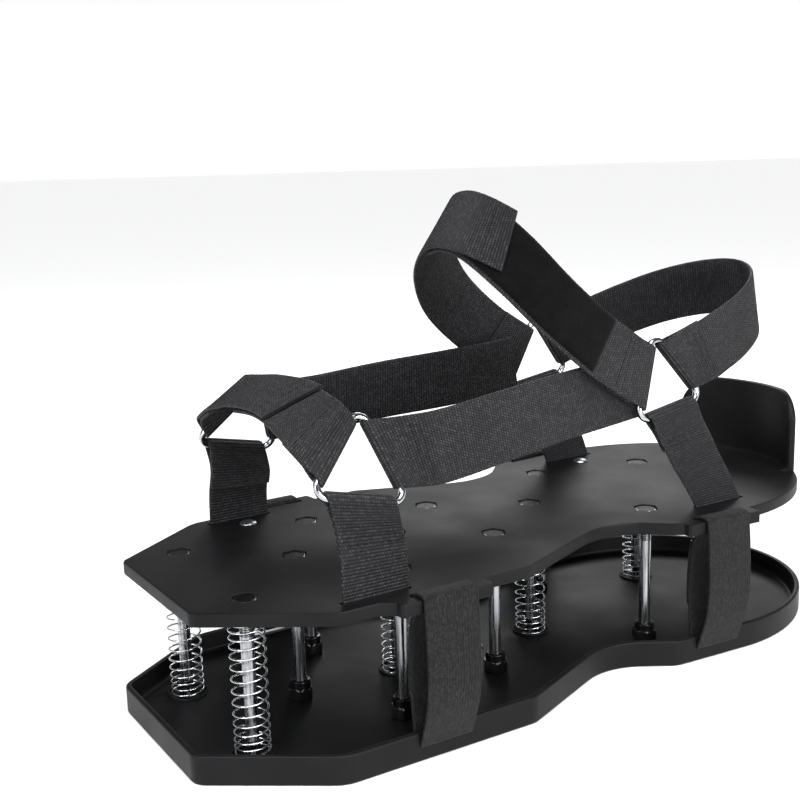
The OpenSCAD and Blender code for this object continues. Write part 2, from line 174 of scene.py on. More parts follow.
def moulded_plastic(name, low, high, roughness, grain_mm, bump, specular):
    finish, tree, shader = new_finish(name, IOR=1.49, Specular_IOR_Level=specular)
    place = add_node(tree, "ShaderNodeTexCoord").outputs["Object"]
    patches = add_node(tree, "ShaderNodeTexNoise", {"Vector": place, "Scale": 1 / 0.028, "Detail": 4.0})
    grain = add_node(tree, "ShaderNodeTexNoise", {"Vector": place, "Scale": 1000 / grain_mm, "Detail": 2.0})
    gloss = add_node(tree, "ShaderNodeMapRange", {"Value": patches.outputs["Fac"], "From Min": 0.3,
                     "From Max": 0.7, "To Min": roughness - 0.06, "To Max": roughness + 0.07})
    relief = add_node(tree, "ShaderNodeBump", {"Height": grain.outputs["Fac"], "Strength": bump,
                      "Distance": 0.00006})
    tree.links.new(two_tones(tree, patches.outputs["Fac"], low, high), shader.inputs["Base Color"])
    tree.links.new(gloss.outputs["Result"], shader.inputs["Roughness"])
    tree.links.new(relief.outputs["Normal"], shader.inputs["Normal"])
    return finish


satin_polypropylene = moulded_plastic("satin_moulded_polypropylene", "#0d0d0e", "#131314",
                                      0.46, 0.35, 0.3, 0.12)
gloss_nylon = moulded_plastic("glossy_moulded_nylon", "#08080a", "#0d0d0e", 0.22, 0.5, 0.12, 0.4)
print("plastics:", satin_polypropylene.name, gloss_nylon.name)

# %% [markdown]
# ## Steels
# Five finishes of steel are on the shoe. The spikes are drawn carbon steel bar: drawing leaves fine
# streaks along the bar, so the noise is squeezed across it and stretched along it. The top
# and flats of each head get a near-black steel, which is painted shade for the dark of the
# hex pocket round it; the chamfers keep the bright steel. The springs are bright zinc
# plated wire. The strap rings are nickel plated, nearly a mirror. Nuts, rivets and eyelet
# have a duller zinc. All are full metals with the default IOR.

# %% Steels


def plated_steel(name, low, high, roughness, spread, streak=(1, 1, 1), size_mm=1.2, bump=0.1):
    finish, tree, shader = new_finish(name, Metallic=1.0)
    place = add_node(tree, "ShaderNodeTexCoord").outputs["Object"]
    squeezed = add_node(tree, "ShaderNodeMapping", {"Vector": place, "Scale": streak})
    marks = add_node(tree, "ShaderNodeTexNoise", {"Vector": squeezed.outputs["Vector"],
                     "Scale": 1000 / size_mm, "Detail": 3.0})
    polish = add_node(tree, "ShaderNodeMapRange", {"Value": marks.outputs["Fac"], "From Min": 0.3,
                      "From Max": 0.7, "To Min": roughness - spread, "To Max": roughness + spread})
    relief = add_node(tree, "ShaderNodeBump", {"Height": marks.outputs["Fac"], "Strength": bump,
                      "Distance": 0.00004})
    tree.links.new(two_tones(tree, marks.outputs["Fac"], low, high), shader.inputs["Base Color"])
    tree.links.new(polish.outputs["Result"], shader.inputs["Roughness"])
    tree.links.new(relief.outputs["Normal"], shader.inputs["Normal"])
    return finish


drawn_steel = plated_steel("drawn_carbon_steel", "#6f7174", "#bfc1c4", 0.26, 0.08, (1, 1, 0.05), 0.7, 0.35)
spring_wire = plated_steel("bright_zinc_spring_wire", "#b4b6b8", "#e4e6e8", 0.2, 0.05, (1, 1, 1), 0.9)
nickel_plate = plated_steel("nickel_plated_steel", "#9c9ea1", "#c6c8ca", 0.12, 0.04, (1, 1, 1), 2.5)
dull_zinc = plated_steel("zinc_plated_steel", "#8d9094", "#c2c5c8", 0.34, 0.08, (1, 1, 1), 0.8, 0.25)
# the top and flats of each spike's head are painted shade: a near-black steel for the dark of the hex pocket,
# while the chamfers stay bright steel
painted_shade_head = plated_steel("black_oxide_steel", "#08080a", "#1a1a1c", 0.42, 0.08, (1, 1, 1), 0.8, 0.3)
print("steels: 5")

# %% [markdown]
# ## Webbing, loop pile and elastic
# The straps are woven polypropylene webbing. Thick cross yarns give ribs across the strap
# about 1.1 mm apart, which we model as real ridges in the mesh. The finer weave on the
# ridges comes from the material: a brick pattern is a good drawing of a plain weave,
# because each yarn shows as a short float and the next row is shifted by half a float. It
# reads the strap's own UV map, which is laid out in millimetres along and across.
# The elastic is knitted, with ribs along the loop and a heathered, speckled face. The pile
# of the hook-and-loop strap is nylon loops brushed up: almost no gloss, and a soft sheen.

# %% Fabrics
RIB_PITCH = 1.1
KNIT_PITCH = 1.15


def woven(name, yarn, float_mm, row_mm, dark, mid, light, roughness, depth, speckle, gap=0.2):
    """Plain weave or knit from staggered floats, in UV millimetres."""
    finish, tree, shader = new_finish(name, IOR=1.5, Roughness=roughness, Specular_IOR_Level=0.22,
                                      Sheen_Weight=0.05, Sheen_Roughness=0.45)
    place = add_node(tree, "ShaderNodeTexCoord")
    # the near-black mortar colour fills the gaps between the floats: painted shade in the gaps of the weave
    floats = add_node(tree, "ShaderNodeTexBrick", {"Vector": place.outputs["UV"], "Scale": 1.0,
                      "Color1": linear(mid), "Color2": linear(light), "Mortar": linear(dark),
                      "Mortar Size": gap * min(float_mm, row_mm), "Mortar Smooth": 1.0, "Bias": -0.35,
                      "Brick Width": float_mm, "Row Height": row_mm}, offset=0.5, squash=1.0)
    fibres = add_node(tree, "ShaderNodeTexNoise", {"Vector": place.outputs["UV"], "Scale": 1 / yarn,
                      "Detail": 2.0, "Roughness": 0.7})
    cloudy = add_node(tree, "ShaderNodeTexNoise", {"Vector": place.outputs["Object"], "Scale": 1 / 0.012})
    tint = add_node(tree, "ShaderNodeMapRange", {"Value": fibres.outputs["Fac"], "From Min": 0.35,
                    "From Max": 0.72, "To Min": 1 - speckle, "To Max": 1 + speckle})
    wear = add_node(tree, "ShaderNodeMapRange", {"Value": cloudy.outputs["Fac"], "From Min": 0.3,
                    "From Max": 0.7, "To Min": 0.9, "To Max": 1.1})
    shade = add_node(tree, "ShaderNodeMath", {0: tint.outputs["Result"], 1: wear.outputs["Result"]},
                     operation="MULTIPLY")
    colour = add_node(tree, "ShaderNodeVectorMath", {0: floats.outputs["Color"]}, operation="SCALE")
    tree.links.new(shade.outputs["Value"], colour.inputs["Scale"])
    height = add_node(tree, "ShaderNodeMath", {0: fibres.outputs["Fac"], 1: 0.45, 2: floats.outputs["Fac"]},
                      operation="MULTIPLY_ADD")
    relief = add_node(tree, "ShaderNodeBump", {"Height": height.outputs["Value"], "Strength": 0.8,
                      "Distance": depth}, invert=True)
    tree.links.new(colour.outputs["Vector"], shader.inputs["Base Color"])
    tree.links.new(relief.outputs["Normal"], shader.inputs["Normal"])
    return finish


# a cross yarn shows about 1 mm of float between two warp yarns
# on the webbing the mortar rows lie in the grooves between the rib ridges, as painted shade
webbing = woven("woven_polypropylene_webbing", 0.22, 1.0, RIB_PITCH, "#010102", "#1f1f21", "#3e3e42",
                0.6, 0.00012, 0.45, 0.32)
# the elastic is knitted finer, and more of its light filaments show
knit_elastic = woven("knitted_elastic", 0.3, 0.9, 0.75, "#010102", "#0e0e0f", "#2e2e31", 0.8, 0.00018, 0.9)


def brushed_pile(name, dark, light):
    """Nylon loops: tangled at about 0.5 mm, matt, with a soft sheen."""
    finish, tree, shader = new_finish(name, IOR=1.53, Roughness=0.95, Specular_IOR_Level=0.05,
                                      Sheen_Weight=0.03, Sheen_Roughness=0.6)
    place = add_node(tree, "ShaderNodeTexCoord").outputs["Object"]
    loops = add_node(tree, "ShaderNodeTexNoise", {"Vector": place, "Scale": 1 / 0.0006, "Detail": 4.0,
                     "Distortion": 1.5})
    strokes = add_node(tree, "ShaderNodeTexNoise", {"Vector": place, "Scale": 1 / 0.006, "Detail": 3.0})
    mixed = add_node(tree, "ShaderNodeMath", {0: loops.outputs["Fac"], 1: strokes.outputs["Fac"]},
                     operation="MULTIPLY")
    relief = add_node(tree, "ShaderNodeBump", {"Height": loops.outputs["Fac"], "Strength": 0.9,
                      "Distance": 0.0003})
    colour = two_tones(tree, mixed.outputs["Value"], dark, light, 0.2, 0.5)
    tree.links.new(colour, shader.inputs["Base Color"])
    tree.links.new(relief.outputs["Normal"], shader.inputs["Normal"])
    return finish


loop_pile = brushed_pile("brushed_nylon_loop_pile", "#020203", "#0b0b0c")
print("fabrics: webbing, elastic, pile")

# %% [markdown]
# ## Sizes
# These are the maker's own sizes, in millimetres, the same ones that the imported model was
# cut to. Up is +Z, the toe points along -X, and the origin is under the middle of the tray.

# %% Sizes and places
PLATE_TOP, PLATE_T, PLATE_INSET, PANEL_T = 58.0, 4.8, 2.5, 3.2
PLATE_Z = PLATE_TOP - PLATE_T
RIM_H, FLOOR_T, WALL_T = 10.4, 2.5, 2.2
SPIKE_D, POINT_LEN, POINT_Z, HEX_AF = 4.6, 7.0, 1.0, 8.0
HEAD_T = NUT_T = 3.0
SPRING_D, WIRE_D, TURNS, BUSH_H = 12.6, 0.7, 16, 7.4
CUP_H, CUP_HALF_W, CUP_T = 34.0, 34.0, 3.2
WEB_W, WEB_T, BAND_W, BAND_T = 25.0, 1.3, 21.0, 1.4
HALF_L, HEEL_X, HEEL_A, HEEL_B = 150.0, 80.0, 70.0, 61.0
CORNERS = [(-150, 33, 7), (-110, 61.5, 14), (-33.5, 63, 10), (17.5, 42.5, 27), (41, 58, 12)]

SPRUNG = {"toe_near": (-127, -28.5), "toe_far": (-127, 28.5), "ball_middle": (-51.5, 0),
          "arch_middle": (14, 0), "heel_rear_near": (94, -21.5), "heel_rear_far": (94, 21.5)}
GUIDED = {"front_middle": (-94, 0), "ball_near": (-71, -34.5), "ball_far": (-71, 34.5),
          "arch_near": (-21.5, -23), "arch_far": (-21.5, 23),
          "heel_front_near": (45.5, -34.5), "heel_front_far": (45.5, 34.5)}
SPIKES = {**SPRUNG, **GUIDED}
EYELET = (-15, 0)
LUG_FRONT, LUG_REAR = (-71.5, 62.25, 1.0), (60.5, 59.5, 4.4)
LUG_LEN, LUG_OUT, LUG_BAR, LUG_SLOT = 36.0, 3.8, 4.1, 2.6
SLOT_LOW, SLOT_HIGH = 4.0, 7.2
RISER_FRONT, RISER_REAR, RIVET_IN = (-91.5, -53.0), (74.0, -46.3), 8.5
print("spikes:", len(SPIKES), "sprung:", len(SPRUNG))

# %% [markdown]
# ## Mesh helpers
# Most pieces come from three moves: bridge two loops of points with a strip of faces, fill
# a flat region that has holes in it, and turn a profile round an axis. We collect points
# and faces in a small builder and make one mesh at the end, in metres. Normals are made to
# point outwards, edges sharper than a limit stay crisp, and the rest is shaded smooth.

# %% Builder


class Builder:
    """Points in mm and faces of one mesh, with an optional UV for each point."""

    def __init__(self):
        self.points, self.faces, self.uvs = [], [], []

    def loop(self, points, uvs=None):
        start = len(self.points)
        self.points += [Vector(p) for p in points]
        self.uvs += list(uvs) if uvs else [(0.0, 0.0)] * len(points)
        return list(range(start, len(self.points)))

    def bridge(self, a, b, closed=True):
        n = len(a)
        for i in range(n if closed else n - 1):
            j = (i + 1) % n
            self.faces.append((a[i], a[j], b[j], b[i]))

    def rings(self, loops, closed=True):
        for a, b in zip(loops, loops[1:]):
            self.bridge(a, b, closed)

    def cap(self, outer, holes=()):
        """Fills the flat region inside outer and outside the holes; all are index loops."""
        loops = [outer, *holes]
        index = [i for lp in loops for i in lp]
        edges, base = [], 0
        for lp in loops:
            edges += [(base + k, base + (k + 1) % len(lp)) for k in range(len(lp))]
            base += len(lp)
        flat = [self.points[i].to_2d() for i in index]
        shapes = [[self.points[i].to_2d() for i in lp] for lp in loops]
        found = delaunay_2d_cdt(flat, edges, [], 0, 1e-7)
        spots, triangles, origin = found[0], found[2], found[3]
        for t in triangles:
            mid = (spots[t[0]] + spots[t[1]] + spots[t[2]]) / 3
            if inside(mid, shapes[0]) and not any(inside(mid, h) for h in shapes[1:]):
                self.faces.append(tuple(index[origin[k][0]] for k in t))

    def lathe(self, profile, centre=(0, 0), n=32, closed=False):
        """Turns (radius, height) pairs round a vertical axis."""
        loops = []
        for r, z in profile:
            loops.append(self.loop([(centre[0] + r * math.cos(2 * math.pi * k / n),
                                     centre[1] + r * math.sin(2 * math.pi * k / n), z) for k in range(n)]))
        self.rings(loops + ([loops[0]] if closed else []))
        if not closed:
            self.faces += [tuple(loops[0]), tuple(loops[-1])]
        return loops


def inside(p, shape):
    """True if the 2D point is inside the closed shape."""
    odd, n = False, len(shape)
    for i in range(n):
        a, b = shape[i], shape[(i + 1) % n]
        if (a.y > p.y) != (b.y > p.y) and p.x < (b.x - a.x) * (p.y - a.y) / (b.y - a.y) + a.x:
            odd = not odd
    return odd


def make_piece(name, build, finish, body, stands_for=(), sharp=35, even=True):
    """One mesh object from a builder, riding on its body, or on none when no body is given."""
    mesh = bpy.data.meshes.new(name)
    mesh.from_pydata([p * MM for p in build.points], [], build.faces)
    layer = mesh.uv_layers.new(name="weave")
    for corner in mesh.loops:
        layer.data[corner.index].uv = build.uvs[corner.vertex_index]
    work = bmesh.new()
    work.from_mesh(mesh)
    bmesh.ops.remove_doubles(work, verts=work.verts, dist=2e-7)
    bmesh.ops.dissolve_degenerate(work, edges=work.edges, dist=1e-7)
    bmesh.ops.recalc_face_normals(work, faces=work.faces)
    for face in work.faces:
        face.smooth = True
    work.to_mesh(mesh)
    work.free()
    mesh.set_sharp_from_angle(angle=math.radians(sharp))
    piece = bpy.data.objects.new(name, mesh)
    bpy.context.scene.collection.objects.link(piece)
    mesh.materials.append(finish)
    if even:
        piece.modifiers.new("even_shading", "WEIGHTED_NORMAL").keep_sharp = True
    if body:
        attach(piece, body)
    if stands_for:
        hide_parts(*stands_for)
    return piece


ROOT, TRAY, TOE_TAIL, ANKLE_TAIL = "plate_assembly", "tray", "toe_tail", "ankle_tail"

# %% [markdown]
# ## The sole's outline
# Tray and plate share one outline: rounded corners at the toe and the waist, and a round
# heel. A corner is filleted by finding the circle that touches both sides. Moving the
# outline in or out gives the tray's wall, the plate's edge and every rounding between.

# %% Outline


def fillet(a, b, c, r, n=12):
    """Points of the arc of radius r that rounds corner b."""
    a, b, c = Vector(a), Vector(b), Vector(c)
    u, v = (a - b).normalized(), (c - b).normalized()
    half = u.angle(v) / 2
    mid = b + (u + v).normalized() * (r / math.sin(half))
    p, q = b + u * (r / math.tan(half)) - mid, b + v * (r / math.tan(half)) - mid
    return [mid + p.lerp(q, i / n).normalized() * r for i in range(n + 1)]


def sole_outline():
    """The closed outline, clockwise from above, starting at the toe on the far side."""
    flat = [(x, y) for x, y, _ in CORNERS]
    ends = [(-HALF_L, 0), *flat, (HEEL_X, HEEL_B)]
    half = [p for i, c in enumerate(CORNERS) for p in fillet(ends[i], ends[i + 1], ends[i + 2], c[2])]
    half += [Vector((HEEL_X + HEEL_A * math.cos(math.radians(a)), HEEL_B * math.sin(math.radians(a))))
             for a in range(90, 2, -3)]
    return half + [Vector((HALF_L, 0))] + [Vector((p.x, -p.y)) for p in reversed(half)]


def moved_in(outline, d):
    """The closed outline moved inwards by d."""
    n, out = len(outline), []
    for i, p in enumerate(outline):
        t = (outline[(i + 1) % n] - outline[i - 1]).normalized()
        out.append(p + d * Vector((t.y, -t.x)))
    return out


def at_height(shape, z):
    return [(p.x, p.y, z) for p in shape]


def circle(centre, r, z, n=32, turn=0.0):
    return [(centre[0] + r * math.cos(2 * math.pi * k / n + turn),
             centre[1] + r * math.sin(2 * math.pi * k / n + turn), z) for k in range(n)]


outline = sole_outline()
print("outline points:", len(outline))

# %% [markdown]
# ## Ground tray
# The tray is one moulding: a flat floor, a low wall with a rounded rim, and a fillet where
# they meet. It could be a solid cut by booleans, but a wall swept as a stack of loops
# gives us exact roundings, which catch the light along the rim. The floor is filled round
# its holes. Six holes have a shallow raised seat round them for a spring. Then four slots
# for the elastic loops are cut through the wall.

# %% Tray
SEAT_R, SEAT_RISE, SEAT_HOLE_R = SPRING_D / 2 + 0.5, 0.8, 3.6
BUSH_HOLE_R, EYELET_HOLE_R = 3.35, 2.6
SLOT_EXTRA, SLOT_DROP = 5.0, 0.8


def cut_boxes(piece, boxes):
    """Cuts the given (matrix, size) boxes, with softened corners, out of a closed piece."""
    for k, (matrix, size) in enumerate(boxes):
        work = bmesh.new()
        bmesh.ops.create_cube(work, size=1.0, matrix=matrix @ Matrix.Diagonal((*size, 1.0)))
        bmesh.ops.bevel(work, geom=work.edges[:], offset=0.5 * MM, segments=2, profile=0.5, affect="EDGES")
        mesh = bpy.data.meshes.new("cutter")
        work.to_mesh(mesh)
        work.free()
        cutter = bpy.data.objects.new("cutter", mesh)
        bpy.context.scene.collection.objects.link(cutter)
        cut = piece.modifiers.new(f"slot_{k}", "BOOLEAN")
        cut.object, cut.operation, cut.solver = cutter, "DIFFERENCE", "EXACT"
    apply_modifiers(piece, "cutter")


def apply_modifiers(piece, helper_name):
    """Bakes the piece's modifiers into its mesh and removes the helper objects."""
    graph = bpy.context.evaluated_depsgraph_get()
    baked = bpy.data.meshes.new_from_object(piece.evaluated_get(graph))
    piece.modifiers.clear()
    piece.data = baked
    for helper in [o for o in bpy.data.objects if o.name.startswith(helper_name)]:
        bpy.data.objects.remove(helper)
    work = bmesh.new()
    work.from_mesh(baked)
    bmesh.ops.remove_doubles(work, verts=work.verts, dist=1e-6)
    for face in work.faces:
        face.smooth = True
    work.to_mesh(baked)
    work.free()
    baked.set_sharp_from_angle(angle=math.radians(35))
    piece.modifiers.new("even_shading", "WEIGHTED_NORMAL").keep_sharp = True


def lug_matrix(lug, side):
    """Frame of a lug: x along the wall, y outwards; side is -1 for near and 1 for far."""
    return (Matrix.Diagonal((1, side, 1, 1)) @ Matrix.Translation(Vector((lug[0], lug[1], 0)) * MM)
            @ Matrix.Rotation(math.radians(lug[2]), 4, "Z"))


def build_tray():
    build = Builder()
    wall = [(2.2, 0), (0.9, 0), (0.28, 0.28), (0, 0.9), (0, RIM_H - 0.9), (0.12, RIM_H - 0.4),
            (0.42, RIM_H - 0.1), (0.85, RIM_H), (WALL_T - 0.7, RIM_H), (WALL_T - 0.25, RIM_H - 0.15),
            (WALL_T, RIM_H - 0.6), (WALL_T, FLOOR_T + 1.6), (WALL_T + 0.2, FLOOR_T + 0.8),
            (WALL_T + 0.7, FLOOR_T + 0.25), (WALL_T + 1.6, FLOOR_T)]
    loops = [build.loop(at_height(moved_in(outline, d), z)) for d, z in wall]
    build.rings(loops)
    under, over = [], []
    for p in SPRUNG.values():
        steps = [(SEAT_R + 0.9, FLOOR_T), (SEAT_R + 0.8, FLOOR_T + 0.65), (SEAT_R + 0.6, FLOOR_T + SEAT_RISE),
                 (SEAT_R + 0.2, FLOOR_T + SEAT_RISE), (SEAT_R, FLOOR_T + 0.6), (SEAT_R, FLOOR_T),
                 (3.8, FLOOR_T), (SEAT_HOLE_R, FLOOR_T - 0.2), (SEAT_HOLE_R, 0.3), (3.9, 0)]
        rings = [build.loop(circle(p, r, z)) for r, z in steps]
        build.rings(rings)
        over.append(rings[0])
        under.append(rings[-1])
    plain = [(p, BUSH_HOLE_R) for p in GUIDED.values()] + [(EYELET, EYELET_HOLE_R)]
    for p, r in plain:
        steps = [(r + 0.2, FLOOR_T), (r, FLOOR_T - 0.2), (r, 0.2), (r + 0.2, 0)]
        rings = [build.loop(circle(p, r2, z)) for r2, z in steps]
        build.rings(rings)
        over.append(rings[0])
        under.append(rings[-1])
    build.cap(loops[-1], over)
    build.cap(loops[0], under)
    return make_piece("moulded_ground_tray", build, satin_polypropylene, TRAY,
                      ["ground_tray"])


tray_piece = build_tray()
slot_size = Vector((BAND_W + SLOT_EXTRA, WALL_T + 3, SLOT_HIGH - SLOT_LOW + SLOT_DROP)) * MM
slot_middle = Vector((0, -WALL_T - 1.2 + (WALL_T + 3) / 2, (SLOT_LOW + SLOT_HIGH - SLOT_DROP) / 2)) * MM
slot_at = Matrix.Translation(slot_middle)
cut_boxes(tray_piece, [(lug_matrix(lug, s) @ slot_at, slot_size)
                       for lug in (LUG_FRONT, LUG_REAR) for s in (-1, 1)])
print("tray faces:", len(tray_piece.data.polygons))

# %% [markdown]
# ## Foot plate
# The plate is a panel with a deeper edge, hollow underneath by 1.6 mm, with a round boss
# left at each spike. Four lugs stick out for the elastic loops. A spike's head drops into
# a hexagonal pocket in the top so that it can't turn. At the heel a thin cup rises from
# the edge. Top, skirt, hollow and bosses are filled as flat regions with holes, and the
# walls between them are bridged, so all edges can be rounded a little on the way.

# %% Plate outline with lugs


def lug_points(lug, side, local):
    """Points given in a lug's own frame, in mm, as 2D points of the sole."""
    c, s = math.cos(math.radians(lug[2])), math.sin(math.radians(lug[2]))
    return [Vector((lug[0] + x * c - y * s, side * (lug[1] + x * s + y * c))) for x, y in local]


def with_lugs(shape, local, reach):
    """The outline with each stretch that a lug covers replaced by the lug's own points."""
    out = list(shape)
    for lug in (LUG_FRONT, LUG_REAR):
        for side in (1, -1):
            new = lug_points(lug, side, local)
            c, s = math.cos(math.radians(lug[2])), math.sin(math.radians(lug[2]))

            def along(p):
                return (p.x - lug[0]) * c + (side * p.y - lug[1]) * s

            keep = [p for p in out if not (side * p.y > 30 and reach[0] < along(p) < reach[1])]
            # the outline runs towards +x on the far side and towards -x on the near side
            before = max((i for i, p in enumerate(keep) if side * p.y > 30 and
                          (along(p) <= reach[0] if side > 0 else along(p) >= reach[1])),
                         key=lambda i: -abs(along(keep[i])))
            out = keep[:before + 1] + (new if side > 0 else new[::-1]) + keep[before + 1:]
    return out


half_lug = LUG_LEN / 2
edge_shape = with_lugs(moved_in(outline, PLATE_INSET),
                       [(-half_lug - 5, -PLATE_INSET), (-half_lug, 0.6), (-half_lug, LUG_OUT - 0.8),
                        (-half_lug + 0.8, LUG_OUT), (half_lug - 0.8, LUG_OUT), (half_lug, LUG_OUT - 0.8),
                        (half_lug, -PLATE_INSET)], (-half_lug - 5, half_lug))
hollow_shape = with_lugs(moved_in(outline, PLATE_INSET + 3),
                         [(-half_lug, -PLATE_INSET - 3), (-half_lug, -6.8), (half_lug, -6.8),
                          (half_lug, -PLATE_INSET - 3)], (-half_lug, half_lug))
print("plate edge points:", len(edge_shape), "hollow:", len(hollow_shape))

# %% Plate solid
SHANK_HOLE_R, BOSS_R, RIVET_HOLE_R = 2.4, 7.0, 1.6


def hexagon(centre, af, z, n=24):
    """n points round a hexagon of that size across the flats."""
    out = []
    for k in range(n):
        a = 2 * math.pi * k / n
        fold = (a + math.pi / 6) % (math.pi / 3) - math.pi / 6
        r = af / 2 / math.cos(math.pi / 6 - abs(fold))
        out.append((centre[0] + r * math.cos(a), centre[1] + r * math.sin(a), z))
    return out


def rounded_slot(centre, length, width, z, n=5):
    """A slot along x with rounded corners."""
    r, out = width / 2 * 0.6, []
    for sx, sy, start in ((1, 1, 0), (-1, 1, 90), (-1, -1, 180), (1, -1, 270)):
        for k in range(n):
            a = math.radians(start + 90 * k / (n - 1))
            out.append((centre[0] + sx * (length / 2 - r) + r * math.cos(a),
                        centre[1] + sy * (width / 2 - r) + r * math.sin(a), z))
    return out


def build_plate():
    build = Builder()
    z0, z1, roof = PLATE_Z, PLATE_TOP, PLATE_Z + PLATE_T - PANEL_T
    edge = [(0.6, z0), (0.15, z0 + 0.15), (0, z0 + 0.6), (0, z1 - 0.7), (0.2, z1 - 0.2), (0.7, z1)]
    loops = [build.loop(at_height(moved_in(edge_shape, d), z)) for d, z in edge]
    build.rings(loops)
    hollow = [build.loop(at_height(hollow_shape, z)) for z in (z0, roof)]
    build.rings(hollow)
    top, roof_holes, skirt_holes = [], [], [hollow[0]]
    for p in SPIKES.values():
        floor_z = z1 - HEAD_T - 0.3
        pocket = [build.loop(hexagon(p, HEX_AF + 1.0, z1)), build.loop(hexagon(p, HEX_AF + 0.4, z1 - 0.3)),
                  build.loop(hexagon(p, HEX_AF + 0.4, floor_z))]
        pocket += [build.loop(circle(p, r, z, 24)) for r, z in
                   ((SHANK_HOLE_R, floor_z), (SHANK_HOLE_R, z0), (BOSS_R - 0.2, z0), (BOSS_R, z0 + 0.2),
                    (BOSS_R, roof))]
        build.rings(pocket)
        top.append(pocket[0])
        roof_holes.append(pocket[-1])
    for x, y in (RISER_FRONT, RISER_REAR):
        for side in (-1, 1):
            c = (x, side * abs(y))
            base = rounded_slot(c, WEB_W + 2, WEB_T + 0.8, 0)
            rings = [build.loop([(px, py + (0.25 if py > c[1] else -0.25), z1) for px, py, _ in base]),
                     build.loop([(px, py, z1 - 0.3) for px, py, _ in base]),
                     build.loop([(px, py, roof) for px, py, _ in base])]
            build.rings(rings)
            top.append(rings[0])
            roof_holes.append(rings[-1])
            c = (x, side * (abs(y) - RIVET_IN))
            rings = [build.loop(circle(c, RIVET_HOLE_R, z, 16)) for z in (z1, roof)]
            build.rings(rings)
            top.append(rings[0])
            roof_holes.append(rings[-1])
    mid = LUG_OUT - LUG_BAR - LUG_SLOT / 2
    for lug in (LUG_FRONT, LUG_REAR):
        for side in (-1, 1):
            base = [(px, py) for px, py, _ in rounded_slot((0, mid), BAND_W + 3, LUG_SLOT, 0)]
            wide = [(px, py + (0.3 if py > mid else -0.3)) for px, py in base]
            rings = [build.loop(at_height(lug_points(lug, side, wide), z1)),
                     build.loop(at_height(lug_points(lug, side, base), z1 - 0.35)),
                     build.loop(at_height(lug_points(lug, side, base), z0))]
            build.rings(rings)
            top.append(rings[0])
            skirt_holes.append(rings[-1])
    build.cap(loops[-1], top)
    build.cap(loops[0], skirt_holes)
    build.cap(hollow[1], roof_holes)
    return make_piece("moulded_foot_plate", build, satin_polypropylene, ROOT,
                      ["foot_plate"])


plate_piece = build_plate()
print("plate faces:", len(plate_piece.data.polygons))

# %% [markdown]
# ## Heel cup
# The cup is a thin upright wall that follows the round heel, so that the boot can't slide
# back. From behind it is a tall rounded tongue. We sweep a slim section round the heel and
# let its height follow the tongue's shape; the section has a rounded top, and flares at
# the foot like the fillet of a real moulding. It is part of the plate's moulding.

# %% Heel cup


def build_heel_cup():
    build = Builder()
    corner, loops = 15.0, []
    outer, inner = moved_in(outline, PLATE_INSET), moved_in(outline, PLATE_INSET + CUP_T)
    pairs = [(o, i) for o, i in zip(outer, inner) if o.x > HEEL_X + 10]
    path = []
    for (o, i), (o2, i2) in zip(pairs, pairs[1:]):
        path += [(o.lerp(o2, k / 4), i.lerp(i2, k / 4)) for k in range(4)]
    path.append(pairs[-1])
    path = [(o, i) for o, i in path if abs(o.y) <= CUP_HALF_W]
    for k, (o, i) in enumerate(path):
        y = abs(o.y)
        side = max(0.0, y - (CUP_HALF_W - corner))
        height = CUP_H - corner + math.sqrt(max(corner ** 2 - side ** 2, 0.0))
        base, top = PLATE_TOP - 0.6, PLATE_TOP + height
        if k in (0, len(path) - 1):
            o, i = o.lerp(i, 0.25), i.lerp(o, 0.25)
        across = i - o
        section = [(0, base), (0, top - 1.2), (0.12, top - 0.45), (0.34, top - 0.08), (0.5, top),
                   (0.66, top - 0.08), (0.88, top - 0.45), (1, top - 1.2), (1, PLATE_TOP + 2.4),
                   (1.1, PLATE_TOP + 1.2), (1.45, PLATE_TOP + 0.35), (2.0, PLATE_TOP - 0.02), (2.0, base)]
        loops.append(build.loop([(o.x + across.x * s, o.y + across.y * s, z) for s, z in section]))
    build.rings(loops)
    build.faces += [tuple(loops[0]), tuple(loops[-1])]
    return make_piece("moulded_heel_cup", build, satin_polypropylene, ROOT)


heel_cup = build_heel_cup()
print("heel cup top:", round(max(v.co.z for v in heel_cup.data.vertices) * 1000, 1), "mm")

# %% [markdown]
# ## Spikes and lock nuts
# A spike is a bolt without most of its thread: a hexagonal head with a turned top, a plain
# bar, a short length of thread under the plate for its lock nut, and a ground point. Bar,
# thread and point are one profile turned round the axis. The thread is drawn as rings at
# the true 0.8 mm pitch of an M5, which no eye can tell from a helix at this size.

# %% Spikes and nuts
THREAD_LOW, THREAD_PITCH, HEAD_TOP = 45.0, 0.8, PLATE_TOP - 0.35


def chamfered_hex(build, centre, af, z0, z1, bore=None, soft=0.35, top_in=0.0):
    """A hexagonal nut or head with its corners turned off; top_in bevels the whole upper edge."""
    rings = []
    round_r = af / 2
    for z, cut in ((z0, True), (z0 + soft, False), (z1 - soft, False), (z1, True)):
        ring = hexagon(centre, af, z)
        if cut:
            inner = round_r - (top_in if z == z1 else 0.0)
            ring = [(*(Vector(centre) + (Vector(p[:2]) - Vector(centre)).normalized()
                       * min(inner, (Vector(p[:2]) - Vector(centre)).length)), z) for p in ring]
        rings.append(build.loop(ring))
    if bore:
        holes = [build.loop(circle(centre, r, z, 24)) for r, z in
                 ((bore, z1 - 0.3), (bore, z0 + 0.3), (bore + 0.35, z0))]
        rings += [build.loop(circle(centre, bore + 0.35, z1, 24)), *holes, rings[0]]
        build.rings(rings)
    else:
        build.rings(rings)
        build.faces += [tuple(rings[0]), tuple(rings[-1])]


